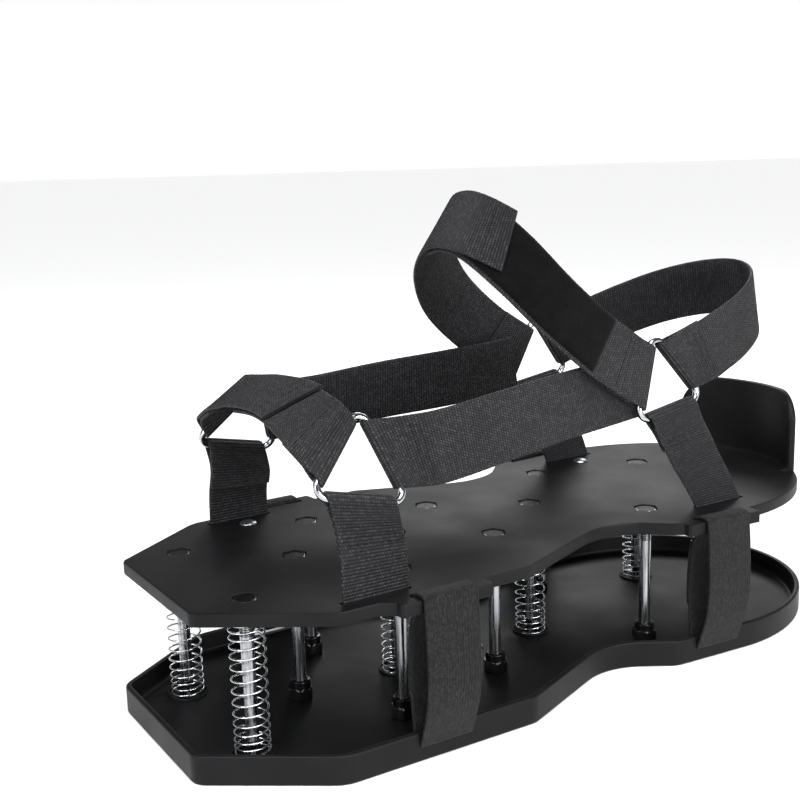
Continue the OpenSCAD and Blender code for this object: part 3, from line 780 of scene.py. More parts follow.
def build_spike(name, centre):
    build = Builder()
    r = SPIKE_D / 2
    profile = [(0.02, POINT_Z), (0.25, POINT_Z), (0.4, POINT_Z + 0.2), (r - 0.12, POINT_Z + POINT_LEN - 0.3),
               (r, POINT_Z + POINT_LEN + 0.1), (r, THREAD_LOW - 0.2)]
    z = THREAD_LOW
    while z < PLATE_Z + 0.4:
        profile += [(r - 0.3, z), (r, z + THREAD_PITCH * 0.4), (r, z + THREAD_PITCH * 0.6)]
        z += THREAD_PITCH
    profile += [(r, PLATE_TOP - HEAD_T - 0.2)]
    build.lathe(profile, centre, 28)
    chamfered_hex(build, centre, HEX_AF, PLATE_TOP - HEAD_T - 0.25, HEAD_TOP, soft=0.4, top_in=0.35)
    piece = make_piece("steel_spike_" + name, build, drawn_steel, ROOT, ["spike_" + name])
    # the head's top and flats take the near-black steel, painted shade for the dark of the hex pocket
    piece.data.materials.append(painted_shade_head)
    for face in piece.data.polygons:  # the chamfer and the bar stay bright
        if face.center.z > (PLATE_TOP - HEAD_T) * MM and (face.normal.z > 0.9 or abs(face.normal.z) < 0.1):
            face.material_index = 1
    return piece


for name, centre in SPIKES.items():
    build_spike(name, centre)
nuts = Builder()
for centre in SPIKES.values():
    chamfered_hex(nuts, centre, HEX_AF, PLATE_Z - NUT_T - 0.02, PLATE_Z - 0.02, SPIKE_D / 2 + 0.05)
make_piece("steel_lock_nuts", nuts, dull_zinc, ROOT, ["spike_lock_nuts"])
print("spikes and nuts:", len(SPIKES))

# %% [markdown]
# ## Springs
# A compression spring is a helix of round wire whose end turns lie closed and nearly flat.
# A curve with a bevel would do, but the spring has to flatten as the tray is pressed up,
# and that works on a mesh, so the wire is swept as a mesh tube. It rides on the plate.

# %% Tube helper and springs


def sweep(build, path, r, n=8, closed=False):
    """A round wire of radius r along points, with a frame carried along the path."""
    count, loops, side = len(path), [], None
    for i, p in enumerate(path):
        a = path[(i - 1) % count] if closed or i else p
        b = path[(i + 1) % count] if closed or i < count - 1 else p
        t = (b - a).normalized()
        side = (side - t * side.dot(t)).normalized() if side else t.orthogonal().normalized()
        up = t.cross(side)
        turns = [2 * math.pi * k / n for k in range(n)]
        loops.append(build.loop([p + r * (math.cos(turn) * side + math.sin(turn) * up) for turn in turns]))
    build.rings(loops)
    if closed:  # find the turn that joins the last ring to the first with least twist
        first, last = loops[0], loops[-1]
        gap = min(range(n), key=lambda s: (build.points[last[0]] - build.points[first[s]]).length)
        build.bridge(last, first[gap:] + first[:gap])
    else:
        build.faces += [tuple(loops[0]), tuple(loops[-1])]


SPRING_NODES = {"spring_toe_near": "toe_near", "spring_toe_far": "toe_far", "spring_ball": "ball_middle",
                "spring_arch": "arch_middle", "spring_heel_near": "heel_rear_near",
                "spring_heel_far": "heel_rear_far"}
TRAVEL, END_HOLD, TURN_STEPS = 39.0, 0.35, 28


def build_spring(node, spike, turn):
    build = Builder()
    low, high = FLOOR_T + 0.05 + WIRE_D / 2, PLATE_Z - 0.05 - WIRE_D / 2
    x, y = SPIKES[spike]
    mid_r, path = (SPRING_D - WIRE_D) / 2, []
    for k in range(TURNS * TURN_STEPS + 1):
        s = k / (TURNS * TURN_STEPS)
        # the end turns are closed: height is held back there and made up in between
        eased = s - math.sin(2 * math.pi * s) / (2 * math.pi) * END_HOLD
        a = 2 * math.pi * TURNS * s + turn
        path.append(Vector((x + mid_r * math.cos(a), y + mid_r * math.sin(a), low + (high - low) * eased)))
    sweep(build, path, WIRE_D / 2, 7)
    piece = make_piece("wire_" + node, build, spring_wire, ROOT, [node], sharp=60, even=False)
    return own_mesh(piece)


for k, (node, spike) in enumerate(SPRING_NODES.items()):
    build_spring(node, spike, 1.1 * k)
print("springs:", len(SPRING_NODES))

# %% [markdown]
# ## Guide bushes and eyelet
# Seven spikes run in nylon bushes that are pressed into the tray's floor: a hexagon to
# grip, a round collar above it, and a spigot below. Each is a hexagonal prism and a turned
# ring. The eyelet in the middle of the sole is a rolled ring of thin zinc plated steel.

# %% Bushes and eyelet


def build_bush(node, centre):
    build = Builder()
    chamfered_hex(build, centre, 8.6, FLOOR_T + 0.02, FLOOR_T + BUSH_H * 0.62, SPIKE_D / 2 + 0.3, 0.5)
    top = FLOOR_T + BUSH_H
    profile = [(3.3, 0.3), (3.3, FLOOR_T + 0.4), (3.8, FLOOR_T + 0.4), (3.8, top - 0.7), (3.65, top - 0.25),
               (3.2, top), (2.75, top), (2.45, top - 0.25), (2.4, top - 0.6), (2.4, 0.3)]
    build.lathe(profile, centre, 32, closed=True)
    return make_piece("nylon_" + node, build, gloss_nylon, TRAY, [node])


BUSH_NODES = {"bush_front_middle": "front_middle", "bush_ball_near": "ball_near", "bush_ball_far": "ball_far",
              "bush_arch_near": "arch_near", "bush_arch_far": "arch_far",
              "bush_heel_near": "heel_front_near", "bush_heel_far": "heel_front_far"}
for node, spike in BUSH_NODES.items():
    build_bush(node, SPIKES[spike])
eyelet = Builder()
eyelet.lathe([(1.9, 0.25), (2.1, 0.12), (3.5, 0.15), (3.7, 0.4), (3.6, 0.7), (2.5, 0.7),
              (2.5, FLOOR_T + 0.05), (3.5, FLOOR_T + 0.05), (3.6, FLOOR_T + 0.25), (3.2, FLOOR_T + 0.48),
              (2.3, FLOOR_T + 0.5), (1.9, FLOOR_T + 0.3)], EYELET, 32, closed=True)
make_piece("rolled_tray_eyelet", eyelet, dull_zinc, TRAY, ["tray_eyelet"])
print("bushes:", len(BUSH_NODES))

# %% [markdown]
# ## Strap rings
# Each strap junction is a triangle of 2.6 mm wire with rounded corners. It is swept as a
# closed tube along its filleted path, with a small butt weld on one bar. A ring stands
# nearly upright beside the boot, rolled in its own plane and leaning towards the foot.

# %% Rings
RING_SIDE, RING_WIRE, RING_FILLET, WELD_SWELL = 37.0, 2.6, 4.0, 0.05
RING_IN = RING_SIDE / (2 * math.sqrt(3))
RING_FRONT = (Vector((-91, -44.6, 98.8)), -13.0, 22.0)
RING_REAR = (Vector((49.5, -39.8, 108.5)), 9.0, 10.0)
LOW, RIGHT, LEFT = -90, 30, 150


def ring_axes(ring):
    """The two directions of a ring's own plane."""
    roll, lean = math.radians(ring[1]), math.radians(ring[2])
    tilted = Vector((0, math.sin(lean), math.cos(lean)))
    return (math.cos(roll) * Vector((1, 0, 0)) + math.sin(roll) * tilted,
            -math.sin(roll) * Vector((1, 0, 0)) + math.cos(roll) * tilted)


def bar_out(ring, angle):
    """Direction from the ring's centre out through the bar at that angle."""
    a, (x, y) = math.radians(angle), ring_axes(ring)
    return math.cos(a) * x + math.sin(a) * y


def bar_station(ring, angle, side=1):
    """A strap's first station: the middle of a bar, and the bar's direction."""
    return (ring[0] + RING_IN * bar_out(ring, angle), side * bar_out(ring, angle + 90))


def mirrored(p):
    return Vector((p[0], -p[1], p[2]))


def build_ring(node, ring, far):
    turns = [math.radians(90 - 120 * i) for i in range(3)]
    tips = [Vector((2 * RING_IN * math.cos(a), 2 * RING_IN * math.sin(a))) for a in turns]
    corners = [fillet(tips[i - 1], tips[i], tips[(i + 1) % 3], RING_FILLET, 14) for i in range(3)]
    flat = []
    for i, arc in enumerate(corners):
        flat += arc
        start, end = arc[-1], corners[(i + 1) % 3][0]
        flat += [start.lerp(end, k / 6) for k in range(1, 6)]
    x, y = ring_axes(ring)
    path = [ring[0] + p.x * x + p.y * y for p in flat]
    if far:
        path = [mirrored(p) for p in path]
    build = Builder()
    sweep(build, path, RING_WIRE / 2, 16, closed=True)
    # the butt weld: a slight swelling in the middle of one bar
    weld = (corners[0][-1] + corners[1][0]) / 2
    centre = ring[0] + weld.x * x + weld.y * y
    centre = mirrored(centre) if far else centre
    for p in build.points:
        d = (p - centre).length
        if d < RING_WIRE:
            p += (p - centre) * WELD_SWELL
    return make_piece("plated_" + node, build, nickel_plate, ROOT, [node], sharp=80, even=False)


for where, ring in (("front", RING_FRONT), ("rear", RING_REAR)):
    for side in ("near", "far"):
        build_ring(f"ring_{where}_{side}", ring, side == "far")
straight = RING_SIDE - 2 * RING_FILLET * math.sqrt(3)
print("rings: 4, bar", round(straight, 1), "mm between corners")

# %% [markdown]
# ## Webbing straps
# A strap is a long, thin, flexible band, so it is described by stations: points of its
# middle line, each with the direction across the band. A smooth curve through them gives
# the line, and a thin section with rounded selvedges is carried along it. Each cross yarn
# is a small ridge in the surface. Where a strap ends at a ring it goes round the bar,
# comes back underneath itself and is sewn down, so we draw that path in the curve's own
# frame: distance along, and height above. Simulation isn't needed for a taut flat strap.

# %% Strap curve


def smooth(points, n, closed=False):
    """A Catmull-Rom curve through the points, with n steps between two of them."""
    out, m = [], len(points)
    for i in range(m if closed else m - 1):
        around = (i - 1, i, i + 1, i + 2)
        a, b, c, d = (points[j % m if closed else min(max(j, 0), m - 1)] for j in around)
        for k in range(n):
            t = k / n
            out.append(0.5 * (2 * b + (c - a) * t + (2 * a - 5 * b + 4 * c - d) * t * t
                              + (3 * b - a - 3 * c + d) * t * t * t))
    return out if closed else out + [points[-1]]


class Line:
    """A strap's middle line: at(s) gives the point, the direction across, and the outward one."""

    def __init__(self, stations, outward):
        self.points = smooth([Vector(p) for p, _ in stations], 14)
        self.across = smooth([Vector(a).normalized() for _, a in stations], 14)
        self.lengths = [0.0]
        for a, b in zip(self.points, self.points[1:]):
            self.lengths.append(self.lengths[-1] + (b - a).length)
        self.length = self.lengths[-1]
        p, _, out = self.frame(len(self.points) // 2)
        self.sign = 1 if out.dot(Vector(outward)) > 0 else -1

    def frame(self, i):
        a, b = self.points[max(i - 1, 0)], self.points[min(i + 1, len(self.points) - 1)]
        across = self.across[i].normalized()
        return self.points[i], across, (b - a).cross(across).normalized()

    def at(self, s):
        last = len(self.points) - 1
        i = 0
        while i < last - 1 and self.lengths[i + 1] < s:
            i += 1
        f = (s - self.lengths[i]) / (self.lengths[i + 1] - self.lengths[i])
        g = min(max(f, 0.0), 1.0)
        (p, a, n), (q, b, m) = self.frame(i), self.frame(i + 1)
        return (p.lerp(q, f), a.lerp(b, g).normalized(), n.lerp(m, g).normalized() * self.sign)


# %% Strap mesh
TURN_BACK, OPEN_LEN, RIDGE, SELVEDGE = 17.0, 9.0, 0.15, 1.0


def end_path():
    """(distance, height) points of an end that goes round a bar, from the sewn tip to the single part."""
    reach, r, lie = TURN_BACK, RING_WIRE / 2 + WEB_T / 2 + 0.05, WEB_T / 2 + 0.04

    def height(s):
        f = 1 - min(s / OPEN_LEN, 1.0)
        return lie + (r - lie) * f * f * (3 - 2 * f)

    path = [(reach * (1 - k / 16), -height(reach * (1 - k / 16))) for k in range(17)]
    for k in range(1, 12):
        a = math.pi * k / 12
        path.append((-r * math.sin(a), -r * math.cos(a)))
    path += [(reach * k / 16, height(reach * k / 16)) for k in range(17)]
    return path + [(reach + 1.5, lie * 0.9), (reach + 5, lie * 0.3), (reach + 8, 0.0)]


def band_path(line, turned):
    """(distance, height) points of the whole strap, with either end turned round a bar."""
    start = end_path() if turned[0] else [(0.0, 0.0)]
    end = [(line.length - s, h) for s, h in reversed(end_path() if turned[1] else [(0.0, 0.0)])]
    a, b = start[-1][0], end[0][0]
    n = max(int((b - a) / 2), 1)
    return start + [(a + (b - a) * k / n, 0.0) for k in range(1, n)] + end


def resampled(points, step):
    """Points at equal steps along a polyline, with the distance of each."""
    out, left, gone = [(points[0], 0.0)], step, 0.0
    for p, q in zip(points, points[1:]):
        d = (q - p).length
        while left <= d:
            out.append((p.lerp(q, left / d), gone + left))
            left += step
        left -= d
        gone += d
    return out


def band_section(steps=5):
    """Half the webbing's section, as (across, height share): rounded selvedges, flat middle."""
    half = WEB_W / 2
    rise = [(half, 0.0), (half - 0.12, 0.55), (half - 0.45, 0.9), (half - SELVEDGE, 1.0)]
    middle = [(-half + SELVEDGE + (WEB_W - 2 * SELVEDGE) * k / steps, 1.0) for k in range(1, steps)]
    return [(-v, h) for v, h in rise] + middle + rise[::-1]


def strap_rings(build, line, path, seed):
    """Carries the webbing's section along the path, with a ridge for each cross yarn."""
    rng = random.Random(seed)
    spots = []
    for s, h in path:
        p, a, n = line.at(s)
        spots.append(p + n * h)
    fine = resampled(spots, RIB_PITCH / 4)
    # the position along the line of each fine sample, found by walking both lists together
    gone, marks = 0.0, [0.0]
    for p, q in zip(spots, spots[1:]):
        gone += (q - p).length
        marks.append(gone)
    k, loops, last_side = 0, [], None
    half = band_section()
    wobble = [rng.uniform(-0.05, 0.05) for _ in range(64)]
    for i, (p, d) in enumerate(fine):
        while k < len(marks) - 2 and marks[k + 1] < d:
            k += 1
        f = min(max((d - marks[k]) / max(marks[k + 1] - marks[k], 1e-6), 0.0), 1.0)
        s = path[k][0] + (path[k + 1][0] - path[k][0]) * f
        _, across, out = line.at(s)
        a, b = fine[max(i - 1, 0)][0], fine[min(i + 1, len(fine) - 1)][0]
        up = (b - a).normalized().cross(across).normalized()
        if last_side is not None and up.dot(last_side) < 0:
            up = -up
        elif last_side is None and up.dot(out) * (1 if path[0][1] >= 0 else -1) < 0:
            up = -up
        last_side = up
        crest = -math.cos(2 * math.pi * d / RIB_PITCH)
        edge = wobble[int(d / RIB_PITCH) % 64] + 0.06 * crest
        thick = WEB_T / 2 + RIDGE * crest
        top = [p + across * (v + math.copysign(edge, v) * (abs(v) > WEB_W / 2 - 0.5)) + up * thick * h
               for v, h in half]
        low = [p + across * v - up * thick * h for v, h in reversed(half[1:-1])]
        uv = [(v, d) for v, _ in half] + [(v, d) for v, _ in reversed(half[1:-1])]
        loops.append(build.loop(top + low, uv))
    build.rings(loops)
    build.faces += [tuple(loops[0]), tuple(loops[-1])]


def build_strap(name, stations, nodes, turned, outward=(0, -1, 0), far=False, body=ROOT):
    """One webbing strap from its stations; far mirrors it to the other side of the foot."""
    line, build = Line(stations, outward), Builder()
    strap_rings(build, line, band_path(line, turned), seed=len(name))
    if far:
        for p in build.points:
            p.y = -p.y
    return make_piece(name, build, webbing, body, nodes, sharp=50, even=False)


print("strap helpers ready; cross yarns every", RIB_PITCH, "mm")

# %% [markdown]
# ## Risers and side straps
# Four risers come up through slots in the plate. Their lower ends are riveted under the
# panel and their upper ends turn round the lowest bar of a ring. The side straps join the
# front ring to the rear one on each side of the foot.

# %% Risers and side straps
riser_z = PLATE_Z + 0.85
riser_front = [((-91.5, -40.5, riser_z), (1, 0, 0)), ((-91.5, -50.5, riser_z), (1, 0, 0)),
               ((-91.5, -52.6, riser_z + 0.7), (1, 0, 0)), ((-91.5, -53, PLATE_TOP), (1, 0, 0)),
               ((-91.4, -52.4, PLATE_TOP + 10), (1, 0, -0.03)),
               ((-91.2, -49.5, PLATE_TOP + 21), (1, 0, -0.12)), bar_station(RING_FRONT, LOW)]
riser_rear = [((74, -33.8, riser_z), (1, 0, 0)), ((74, -43.8, riser_z), (1, 0, 0)),
              ((74, -45.9, riser_z + 0.7), (1, 0, 0)), ((73.5, -46.3, PLATE_TOP), (1, 0, 0)),
              ((68, -44.9, PLATE_TOP + 11), (1, 0, 0.05)), ((60, -42.7, PLATE_TOP + 25), (1, 0, 0.12)),
              bar_station(RING_REAR, LOW)]
side_strap = [bar_station(RING_FRONT, RIGHT), ((-60, -45.5, 101.5), (-0.12, 0.2, 1)),
              ((-30, -42.8, 104), (-0.06, 0.16, 1)), ((0, -38.2, 106), (-0.1, 0.12, 1)),
              ((22, -36.6, 107.6), (-0.16, 0.12, 1)), ((35, -36.4, 108.8), (-0.22, 0.12, 1))]
for side in ("near", "far"):
    far = side == "far"
    build_strap(f"webbing_riser_front_{side}", riser_front, [f"riser_front_{side}"], (False, True), far=far)
    build_strap(f"webbing_riser_rear_{side}", riser_rear, [f"riser_rear_{side}"], (False, True), far=far)
    build_strap(f"webbing_side_{side}", side_strap, [f"side_strap_{side}"], (True, False), far=far)
print("risers: 4, side straps: 2")

# %% [markdown]
# ## Toe, ankle and heel straps
# The toe and ankle straps cross over the boot. From the near ring each runs up and over
# the foot, and its end lies under the far strap's tail, which is pressed onto it with
# hook-and-loop. Far strap and tail are one length of webbing, so it is one mesh along both,
# and it rides on no body. The heel strap joins the two rear rings round the back of the boot.

# %% Toe, ankle and heel straps
toe_rise = [bar_station(RING_FRONT, LEFT, -1), ((-101, -39, 110.2), (0.76, 0.2, 0.6)),
            ((-100.5, -28.5, 113.2), (0.87, 0.12, 0.42))]
toe_near = toe_rise + [((-98, -14.5, 114.8), (0.94, 0.04, 0.32)), ((-96.5, 0, 115.3), (0.95, 0, 0.3)),
                       ((-97.7, 11.3, 114.95), (0.94, -0.03, 0.32))]
toe_tail = [((-98.4, 14.5, 116.6), (0.94, -0.04, 0.32)), ((-97, 0, 117.1), (0.95, 0, 0.3)),
            ((-98.1, -12.5, 116.75), (0.94, 0.04, 0.32))]
ankle_rise = [bar_station(RING_REAR, LEFT, -1), ((19.3, -39.6, 125.4), (0.6, 0.14, 0.76)),
              ((-0.2, -36.6, 142), (0.68, 0.12, 0.7)), ((-12.8, -27, 158.6), (0.64, 0.06, 0.76))]
ankle_near = ankle_rise + [((-18.5, -12, 170), (0.58, 0.03, 0.81)), ((-20, 0, 173), (0.57, 0, 0.82)),
                           ((-19.4, 9, 171.1), (0.58, -0.03, 0.81))]
ankle_tail = [((-20.6, 12, 171.3), (0.58, -0.03, 0.81)), ((-21.5, 0, 174.5), (0.57, 0.03, 0.82)),
              ((-19.8, -12.8, 172.6), (0.55, 0.13, 0.82)), ((-13.6, -24.7, 166.8), (0.51, 0.25, 0.87))]
heel_rise = [bar_station(RING_REAR, RIGHT), ((75, -38.8, 120), (-0.36, 0.1, 0.93)),
             ((95, -35.5, 126), (-0.24, 0.06, 0.97)), ((113, -27.5, 132), (-0.18, 0.04, 0.98)),
             ((125, -15, 136), (-0.14, 0.02, 0.99)), ((129.5, 0, 137.5), (-0.12, 0, 0.99))]


def to_far(stations):
    """The same stations on the other side of the foot, in the opposite order."""
    return [(mirrored(p), mirrored(a)) for p, a in reversed(stations)]


def far_rise(stations, nudge):
    """The far side of a strap, down to its ring, with its top station nudged to meet the tail."""
    (top, across), *rest = to_far(stations)
    return [(top + Vector(nudge), across), *rest]


toe_far = toe_tail[::-1] + [((-99.6, 21.5, 115.6), (0.91, -0.07, 0.37))]
toe_far += far_rise(toe_rise, (0, 0.18, 0.36))
ankle_far = ankle_tail[::-1] + far_rise(ankle_rise, (-0.3, 0.3, 0.25))
heel = heel_rise + to_far(heel_rise)[1:]
# the side of each strap that faces away from the foot
SIDE_OUT, HEEL_OUT = (0, -1, 0), (1, 0, 0)
TOE_NEAR_OUT, TOE_FAR_OUT = (0, -0.3, 1), (0, 0.3, 1)
ANKLE_NEAR_OUT, ANKLE_FAR_OUT = (-0.5, -1, 0.6), (-0.5, 0.6, 0.6)


def peel_at(piece):
    """Bakes the piece's place into its mesh; the stretch where the tail peels is not bent here."""
    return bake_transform(piece)


build_strap("webbing_toe_near", toe_near, ["toe_strap_near"], (True, False), TOE_NEAR_OUT)
toe_piece = build_strap("webbing_toe_far", toe_far, ["toe_strap_far", "toe_strap_tail"], (False, True),
                        TOE_FAR_OUT, body=None)
peel_at(toe_piece)
build_strap("webbing_ankle_near", ankle_near, ["ankle_strap_near"], (True, False), ANKLE_NEAR_OUT)
ankle_piece = build_strap("webbing_ankle_far", ankle_far, ["ankle_strap_far", "ankle_strap_tail"],
                          (False, True), ANKLE_FAR_OUT, body=None)
peel_at(ankle_piece)
build_strap("webbing_heel", heel, ["heel_strap"], (True, True), HEEL_OUT)
print("toe, ankle and heel straps made")

# %% [markdown]
# ## Loop pile on the ankle strap
# Past the first 26 mm the ankle strap's outer face is covered by a strip of loop pile,
# sewn on near its edges. It is a low cushion with a soft, uneven surface. A strip is
# carried along the same line, standing a little above the webbing, and its points are
# moved by a small random amount so that its outline isn't ruled.

# %% Pile strip
PILE_START, PILE_T, PILE_W, PILE_OFF, PILE_STEP = 26.0, 0.9, 23.0, 0.5, 0.8


def build_pile():
    line, build, rng = Line(ankle_near, ANKLE_NEAR_OUT), Builder(), random.Random(4)
    loops, steps, cells = [], int((line.length - PILE_START - 1) / PILE_STEP), 22
    for k in range(steps + 1):
        p, across, out = line.at(PILE_START + PILE_STEP * k)
        ends = min(1.0, (min(k, steps - k) + 0.4) / 2)
        top = []
        for j in range(cells + 1):
            f = j / cells
            v = (f - 0.5) * PILE_W + PILE_OFF
            edge = min(1.0, (min(f, 1 - f) * cells + 0.25) / 1.6)
            height = WEB_T / 2 + 0.05 + PILE_T * math.sqrt(edge) * math.sqrt(ends)
            height += rng.uniform(-0.09, 0.09) * edge
            top.append(p + across * (v + rng.uniform(-0.08, 0.08)) + out * height)
        base = [p + across * ((f - 0.5) * PILE_W + PILE_OFF) + out * (WEB_T / 2 - 0.3) for f in (1.0, 0.0)]
        loops.append(build.loop(top + base))
    build.rings(loops)
    build.faces += [tuple(loops[0]), tuple(loops[-1])]
    return make_piece("loop_pile_strip", build, loop_pile, ROOT, sharp=80, even=False)


pile = build_pile()
print("pile faces:", len(pile.data.polygons))

# %% [markdown]
# ## Stitching
# Two rows of stitches hold each turned end. A stitch is a short thread that dips into the
# webbing at both ends, so we draw each one as a small arched bead of black thread. Those of
# the fixed straps are one piece, and each tail's row is a piece that rides on the tail.

# %% Stitches
STITCH_LEN, STITCH_GAP, THREAD_R = 2.0, 1.0, 0.18
ROW_W, ROWS = WEB_W - 2.5, (TURN_BACK - 2.2, TURN_BACK - 5.2)


def stitch_row(build, line, s, width, lift, mirror=False):
    """A row of stitches across the strap at distance s along it."""
    n = int(width / (STITCH_LEN + STITCH_GAP))
    p, across, out = line.at(s)
    for k in range(n):
        v0 = (k - n / 2) * (STITCH_LEN + STITCH_GAP) + STITCH_GAP / 2
        path = []
        for j in range(6):
            f = j / 5
            q = p + across * (v0 + STITCH_LEN * f) + out * (lift - 0.25 + 0.3 * math.sin(math.pi * f))
            path.append(mirrored(q) if mirror else q)
        sweep(build, path, THREAD_R, 6)


# each turned end: the strap, its outer side, which end it is, and if both sides have it
turned_ends = [(riser_front, SIDE_OUT, -1, True), (riser_rear, SIDE_OUT, -1, True),
               (side_strap, SIDE_OUT, 1, True), (toe_near, TOE_NEAR_OUT, 1, False),
               (ankle_near, ANKLE_NEAR_OUT, 1, False), (heel, HEEL_OUT, 1, False),
               (heel, HEEL_OUT, -1, False), (toe_far, TOE_FAR_OUT, -1, False),
               (ankle_far, ANKLE_FAR_OUT, -1, False)]
thread = Builder()
for stations, outward, end, both_sides in turned_ends:
    line = Line(stations, outward)
    for reach in ROWS:
        s = reach if end > 0 else line.length - reach
        for mirror in ((False, True) if both_sides else (False,)):
            stitch_row(thread, line, s, ROW_W, WEB_T + 0.14, mirror)
tail_thread = {TOE_TAIL: Builder(), ANKLE_TAIL: Builder()}
for body, stations, outward in ((TOE_TAIL, toe_far, TOE_FAR_OUT), (ANKLE_TAIL, ankle_far, ANKLE_FAR_OUT)):
    stitch_row(tail_thread[body], Line(stations, outward), 9, ROW_W, WEB_T / 2 + 0.08)
make_piece("strap_stitching", thread, webbing, ROOT, sharp=80, even=False)
for body, build in tail_thread.items():
    make_piece(body + "_stitching", build, webbing, body, sharp=80, even=False)
print("stitch points:", len(thread.points))

# %% [markdown]
# ## Elastic loops
# Four knitted elastic loops keep the tray from dropping away from the plate. Each goes
# over a lug's bar, down outside, in through a slot in the tray's wall and back up inside.
# The section has fine ribs along the loop. A second, shorter layer on the inner run, below
# the plate, is where the two ends of the band overlap and are sewn.

# %% Elastics
# the overlap's first and last steps along the route, counted back from its end
LAP = (-46, -27)


def elastic_route():
    """The closed route of a loop in its lug's frame: (outwards, height)."""
    bar_edge, bar_in = LUG_OUT, LUG_OUT - LUG_BAR
    slot_mid, low = bar_in - LUG_SLOT / 2, (SLOT_LOW + SLOT_HIGH) / 2
    route = [((bar_in + bar_edge) / 2, PLATE_TOP + 1), (bar_edge + 0.6, PLATE_TOP + 0.55),
             (bar_edge + 1.2, PLATE_TOP - 2), (bar_edge + 2.2, PLATE_TOP - 14), (bar_edge + 2.5, 31),
             (bar_edge + 1.2, 20), (2.5, 12), (1.3, 8.6), (0.35, low + 0.4), (-WALL_T / 2, low - 0.1),
             (-WALL_T - 0.8, low + 0.7), (-WALL_T - 1.7, 10.5), (-WALL_T - 2.7, 20), (-WALL_T - 3.1, 31),
             (-WALL_T - 2, PLATE_Z - 9), (slot_mid, PLATE_Z - 0.5), (slot_mid + 0.1, PLATE_TOP - 0.6),
             (bar_in - 0.5, PLATE_TOP + 0.65)]
    return smooth([Vector(p) for p in route], 8, closed=True)


def knit_section(w, t, columns):
    """Across and height pairs round a knitted band: ribs on both faces, round edges."""
    n, top = columns * 4, []
    for k in range(n + 1):
        v = -w / 2 + 0.5 + (w - 1) * k / n
        top.append((v, t / 2 - 0.12 * (0.5 - 0.5 * math.cos(2 * math.pi * columns * k / n))))
    right = [(w / 2 - 0.12, t * 0.28), (w / 2, 0.0), (w / 2 - 0.12, -t * 0.28)]
    low = [(v, -h) for v, h in reversed(top)]
    left = [(-w / 2 + 0.12, -t * 0.28), (-w / 2, 0.0), (-w / 2 + 0.12, t * 0.28)]
    return top + right + low + left


def build_elastic(node, lug, side):
    matrix = lug_matrix(lug, side)
    build, route = Builder(), elastic_route()
    n, gone, loops = len(route), 0.0, []
    section = knit_section(BAND_W, BAND_T - 0.1, int(BAND_W / KNIT_PITCH))

    def station(i, section, lift):
        t = (route[(i + 1) % n] - route[i - 1]).normalized()
        out = Vector((-t.y, t.x))
        points, uvs = [], []
        for v, h in section:
            q = route[i] + out * (h + lift)
            points.append((matrix @ (Vector((v, q.x, q.y)) * MM)) / MM)
            uvs.append((gone, v))
        return build.loop(points, uvs)

    for i in range(n):
        loops.append(station(i, section, 0.0))
        gone += (route[(i + 1) % n] - route[i]).length
    build.rings(loops + [loops[0]])
    # the sewn overlap: a second layer on the inner run, below the plate
    lap, lap_section, gone = [], knit_section(BAND_W - 0.2, 0.8, int(BAND_W / KNIT_PITCH)), 0.0
    for i in range(*LAP):
        lap.append(station(i % n, lap_section, 1.0))
        gone += (route[(i + 1) % n] - route[i % n]).length
    build.rings(lap)
    build.faces += [tuple(lap[0]), tuple(lap[-1])]
    piece = make_piece("knitted_" + node, build, knit_elastic, ROOT, [node],
                       sharp=60, even=False)
    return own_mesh(piece)


for where, lug in (("front", LUG_FRONT), ("rear", LUG_REAR)):
    for side, sign in (("near", -1), ("far", 1)):
        build_elastic(f"elastic_{where}_{side}", lug, sign)
print("elastic loops: 4")

# %% [markdown]
# ## Rivets
# Each riser is held by one rivet through the panel: a low domed head above, and a shank
# with a washer below. Both are turned profiles in zinc plated steel.

# %% Rivets
rivets = Builder()
for x, y in (RISER_FRONT, RISER_REAR):
    for side in (-1, 1):
        c = (x, side * (abs(y) - RIVET_IN))
        rivets.lathe([(0.02, PLATE_Z - 0.05), (2.6, PLATE_Z - 0.05), (3.0, PLATE_Z + 0.08),
                      (3.0, PLATE_Z + 0.2), (1.5, PLATE_Z + 0.2), (1.5, PLATE_TOP + 0.05),
                      (3.35, PLATE_TOP + 0.05), (3.4, PLATE_TOP + 0.25), (3.1, PLATE_TOP + 0.65),
                      (2.3, PLATE_TOP + 1.05), (1.2, PLATE_TOP + 1.25), (0.02, PLATE_TOP + 1.3)], c, 28)
make_piece("strap_rivet_heads", rivets, dull_zinc, ROOT, ["strap_rivets"])
print("rivets: 4")

# %% [markdown]
# ## Stage and light
# The shoe stands on a plain pale floor that runs far back to a white surround. Light is a
# studio's: four soft boxes, of which the front and left ones draw the side walls of the
# black plastic, and a wide, soft sun that lights the floor and the tops evenly. The
# surround is white near the floor and grey above, so the black tops don't wash out.

# %% Stage


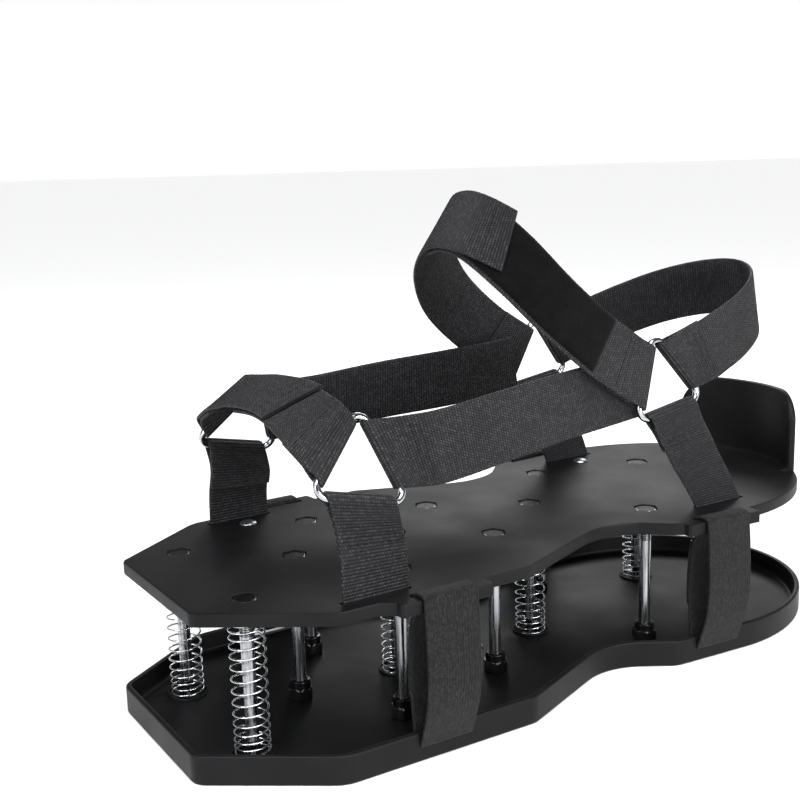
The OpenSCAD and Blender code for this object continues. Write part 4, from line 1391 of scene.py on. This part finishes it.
def build_stage():
    build = Builder()
    turn = Matrix.Rotation(math.radians(-32), 3, "Z")
    loops = [build.loop([turn @ Vector((x, y, -0.05)) for x in (-20000, 0, 20000)])
             for y in (-3000, -1000, 1000, 40000)]
    build.rings(loops, closed=False)
    mesh = bpy.data.meshes.new("studio_floor")
    mesh.from_pydata([p * MM for p in build.points], [], build.faces)
    for face in mesh.polygons:
        face.use_smooth = True
    floor = bpy.data.objects.new("studio_floor", mesh)
    bpy.context.scene.collection.objects.link(floor)
    paper, _, shader = new_finish("pale_matt_paper", Roughness=0.9, Specular_IOR_Level=0.1)
    shader.inputs["Base Color"].default_value = linear("#f4f4f3")
    mesh.materials.append(paper)


def soft_box(name, at, size, power, tint="#ffffff", aim=(0, 0, 0.06)):
    """A rectangular soft light at a point in metres, aimed at the shoe."""
    light = bpy.data.lights.new(name, "AREA")
    light.shape, light.size, light.size_y = "RECTANGLE", size[0], size[1]
    light.energy = power
    light.color = linear(tint)[:3]
    box = bpy.data.objects.new(name, light)
    bpy.context.scene.collection.objects.link(box)
    box.location = at
    box.rotation_euler = (Vector(aim) - Vector(at)).to_track_quat("-Z", "Y").to_euler()


build_stage()
soft_box("light_above", (-0.15, -0.35, 1.25), (0.9, 0.6), 5)
soft_box("light_left", (-1.15, -0.25, 0.55), (0.4, 0.9), 9, "#f8f9ff")
soft_box("light_front", (0.15, -1.2, 0.3), (0.9, 0.35), 13)
soft_box("light_behind", (0.75, 0.75, 0.7), (0.7, 0.4), 5)
even = bpy.data.lights.new("light_even", "SUN")
even.energy, even.angle = 3.1, math.radians(50)
even_light = bpy.data.objects.new("light_even", even)
bpy.context.scene.collection.objects.link(even_light)
even_light.rotation_euler = (math.radians(25), math.radians(-15), 0)
world = bpy.data.worlds.new("studio_surround")
bpy.context.scene.world = world
world.use_nodes = True
sky = world.node_tree
direction = add_node(sky, "ShaderNodeTexCoord").outputs["Generated"]
height = add_node(sky, "ShaderNodeSeparateXYZ", {"Vector": direction}).outputs["Z"]
surround = two_tones(sky, height, "#ffffff", "#6c6d70", 0.13, 0.2)
sky.links.new(surround, sky.nodes["Background"].inputs["Color"])
bpy.context.scene.view_settings.view_transform = "Standard"

# %% [markdown]
# ## Last update
# The view layer is brought up to date.

# %% Finish
bpy.context.view_layer.update()
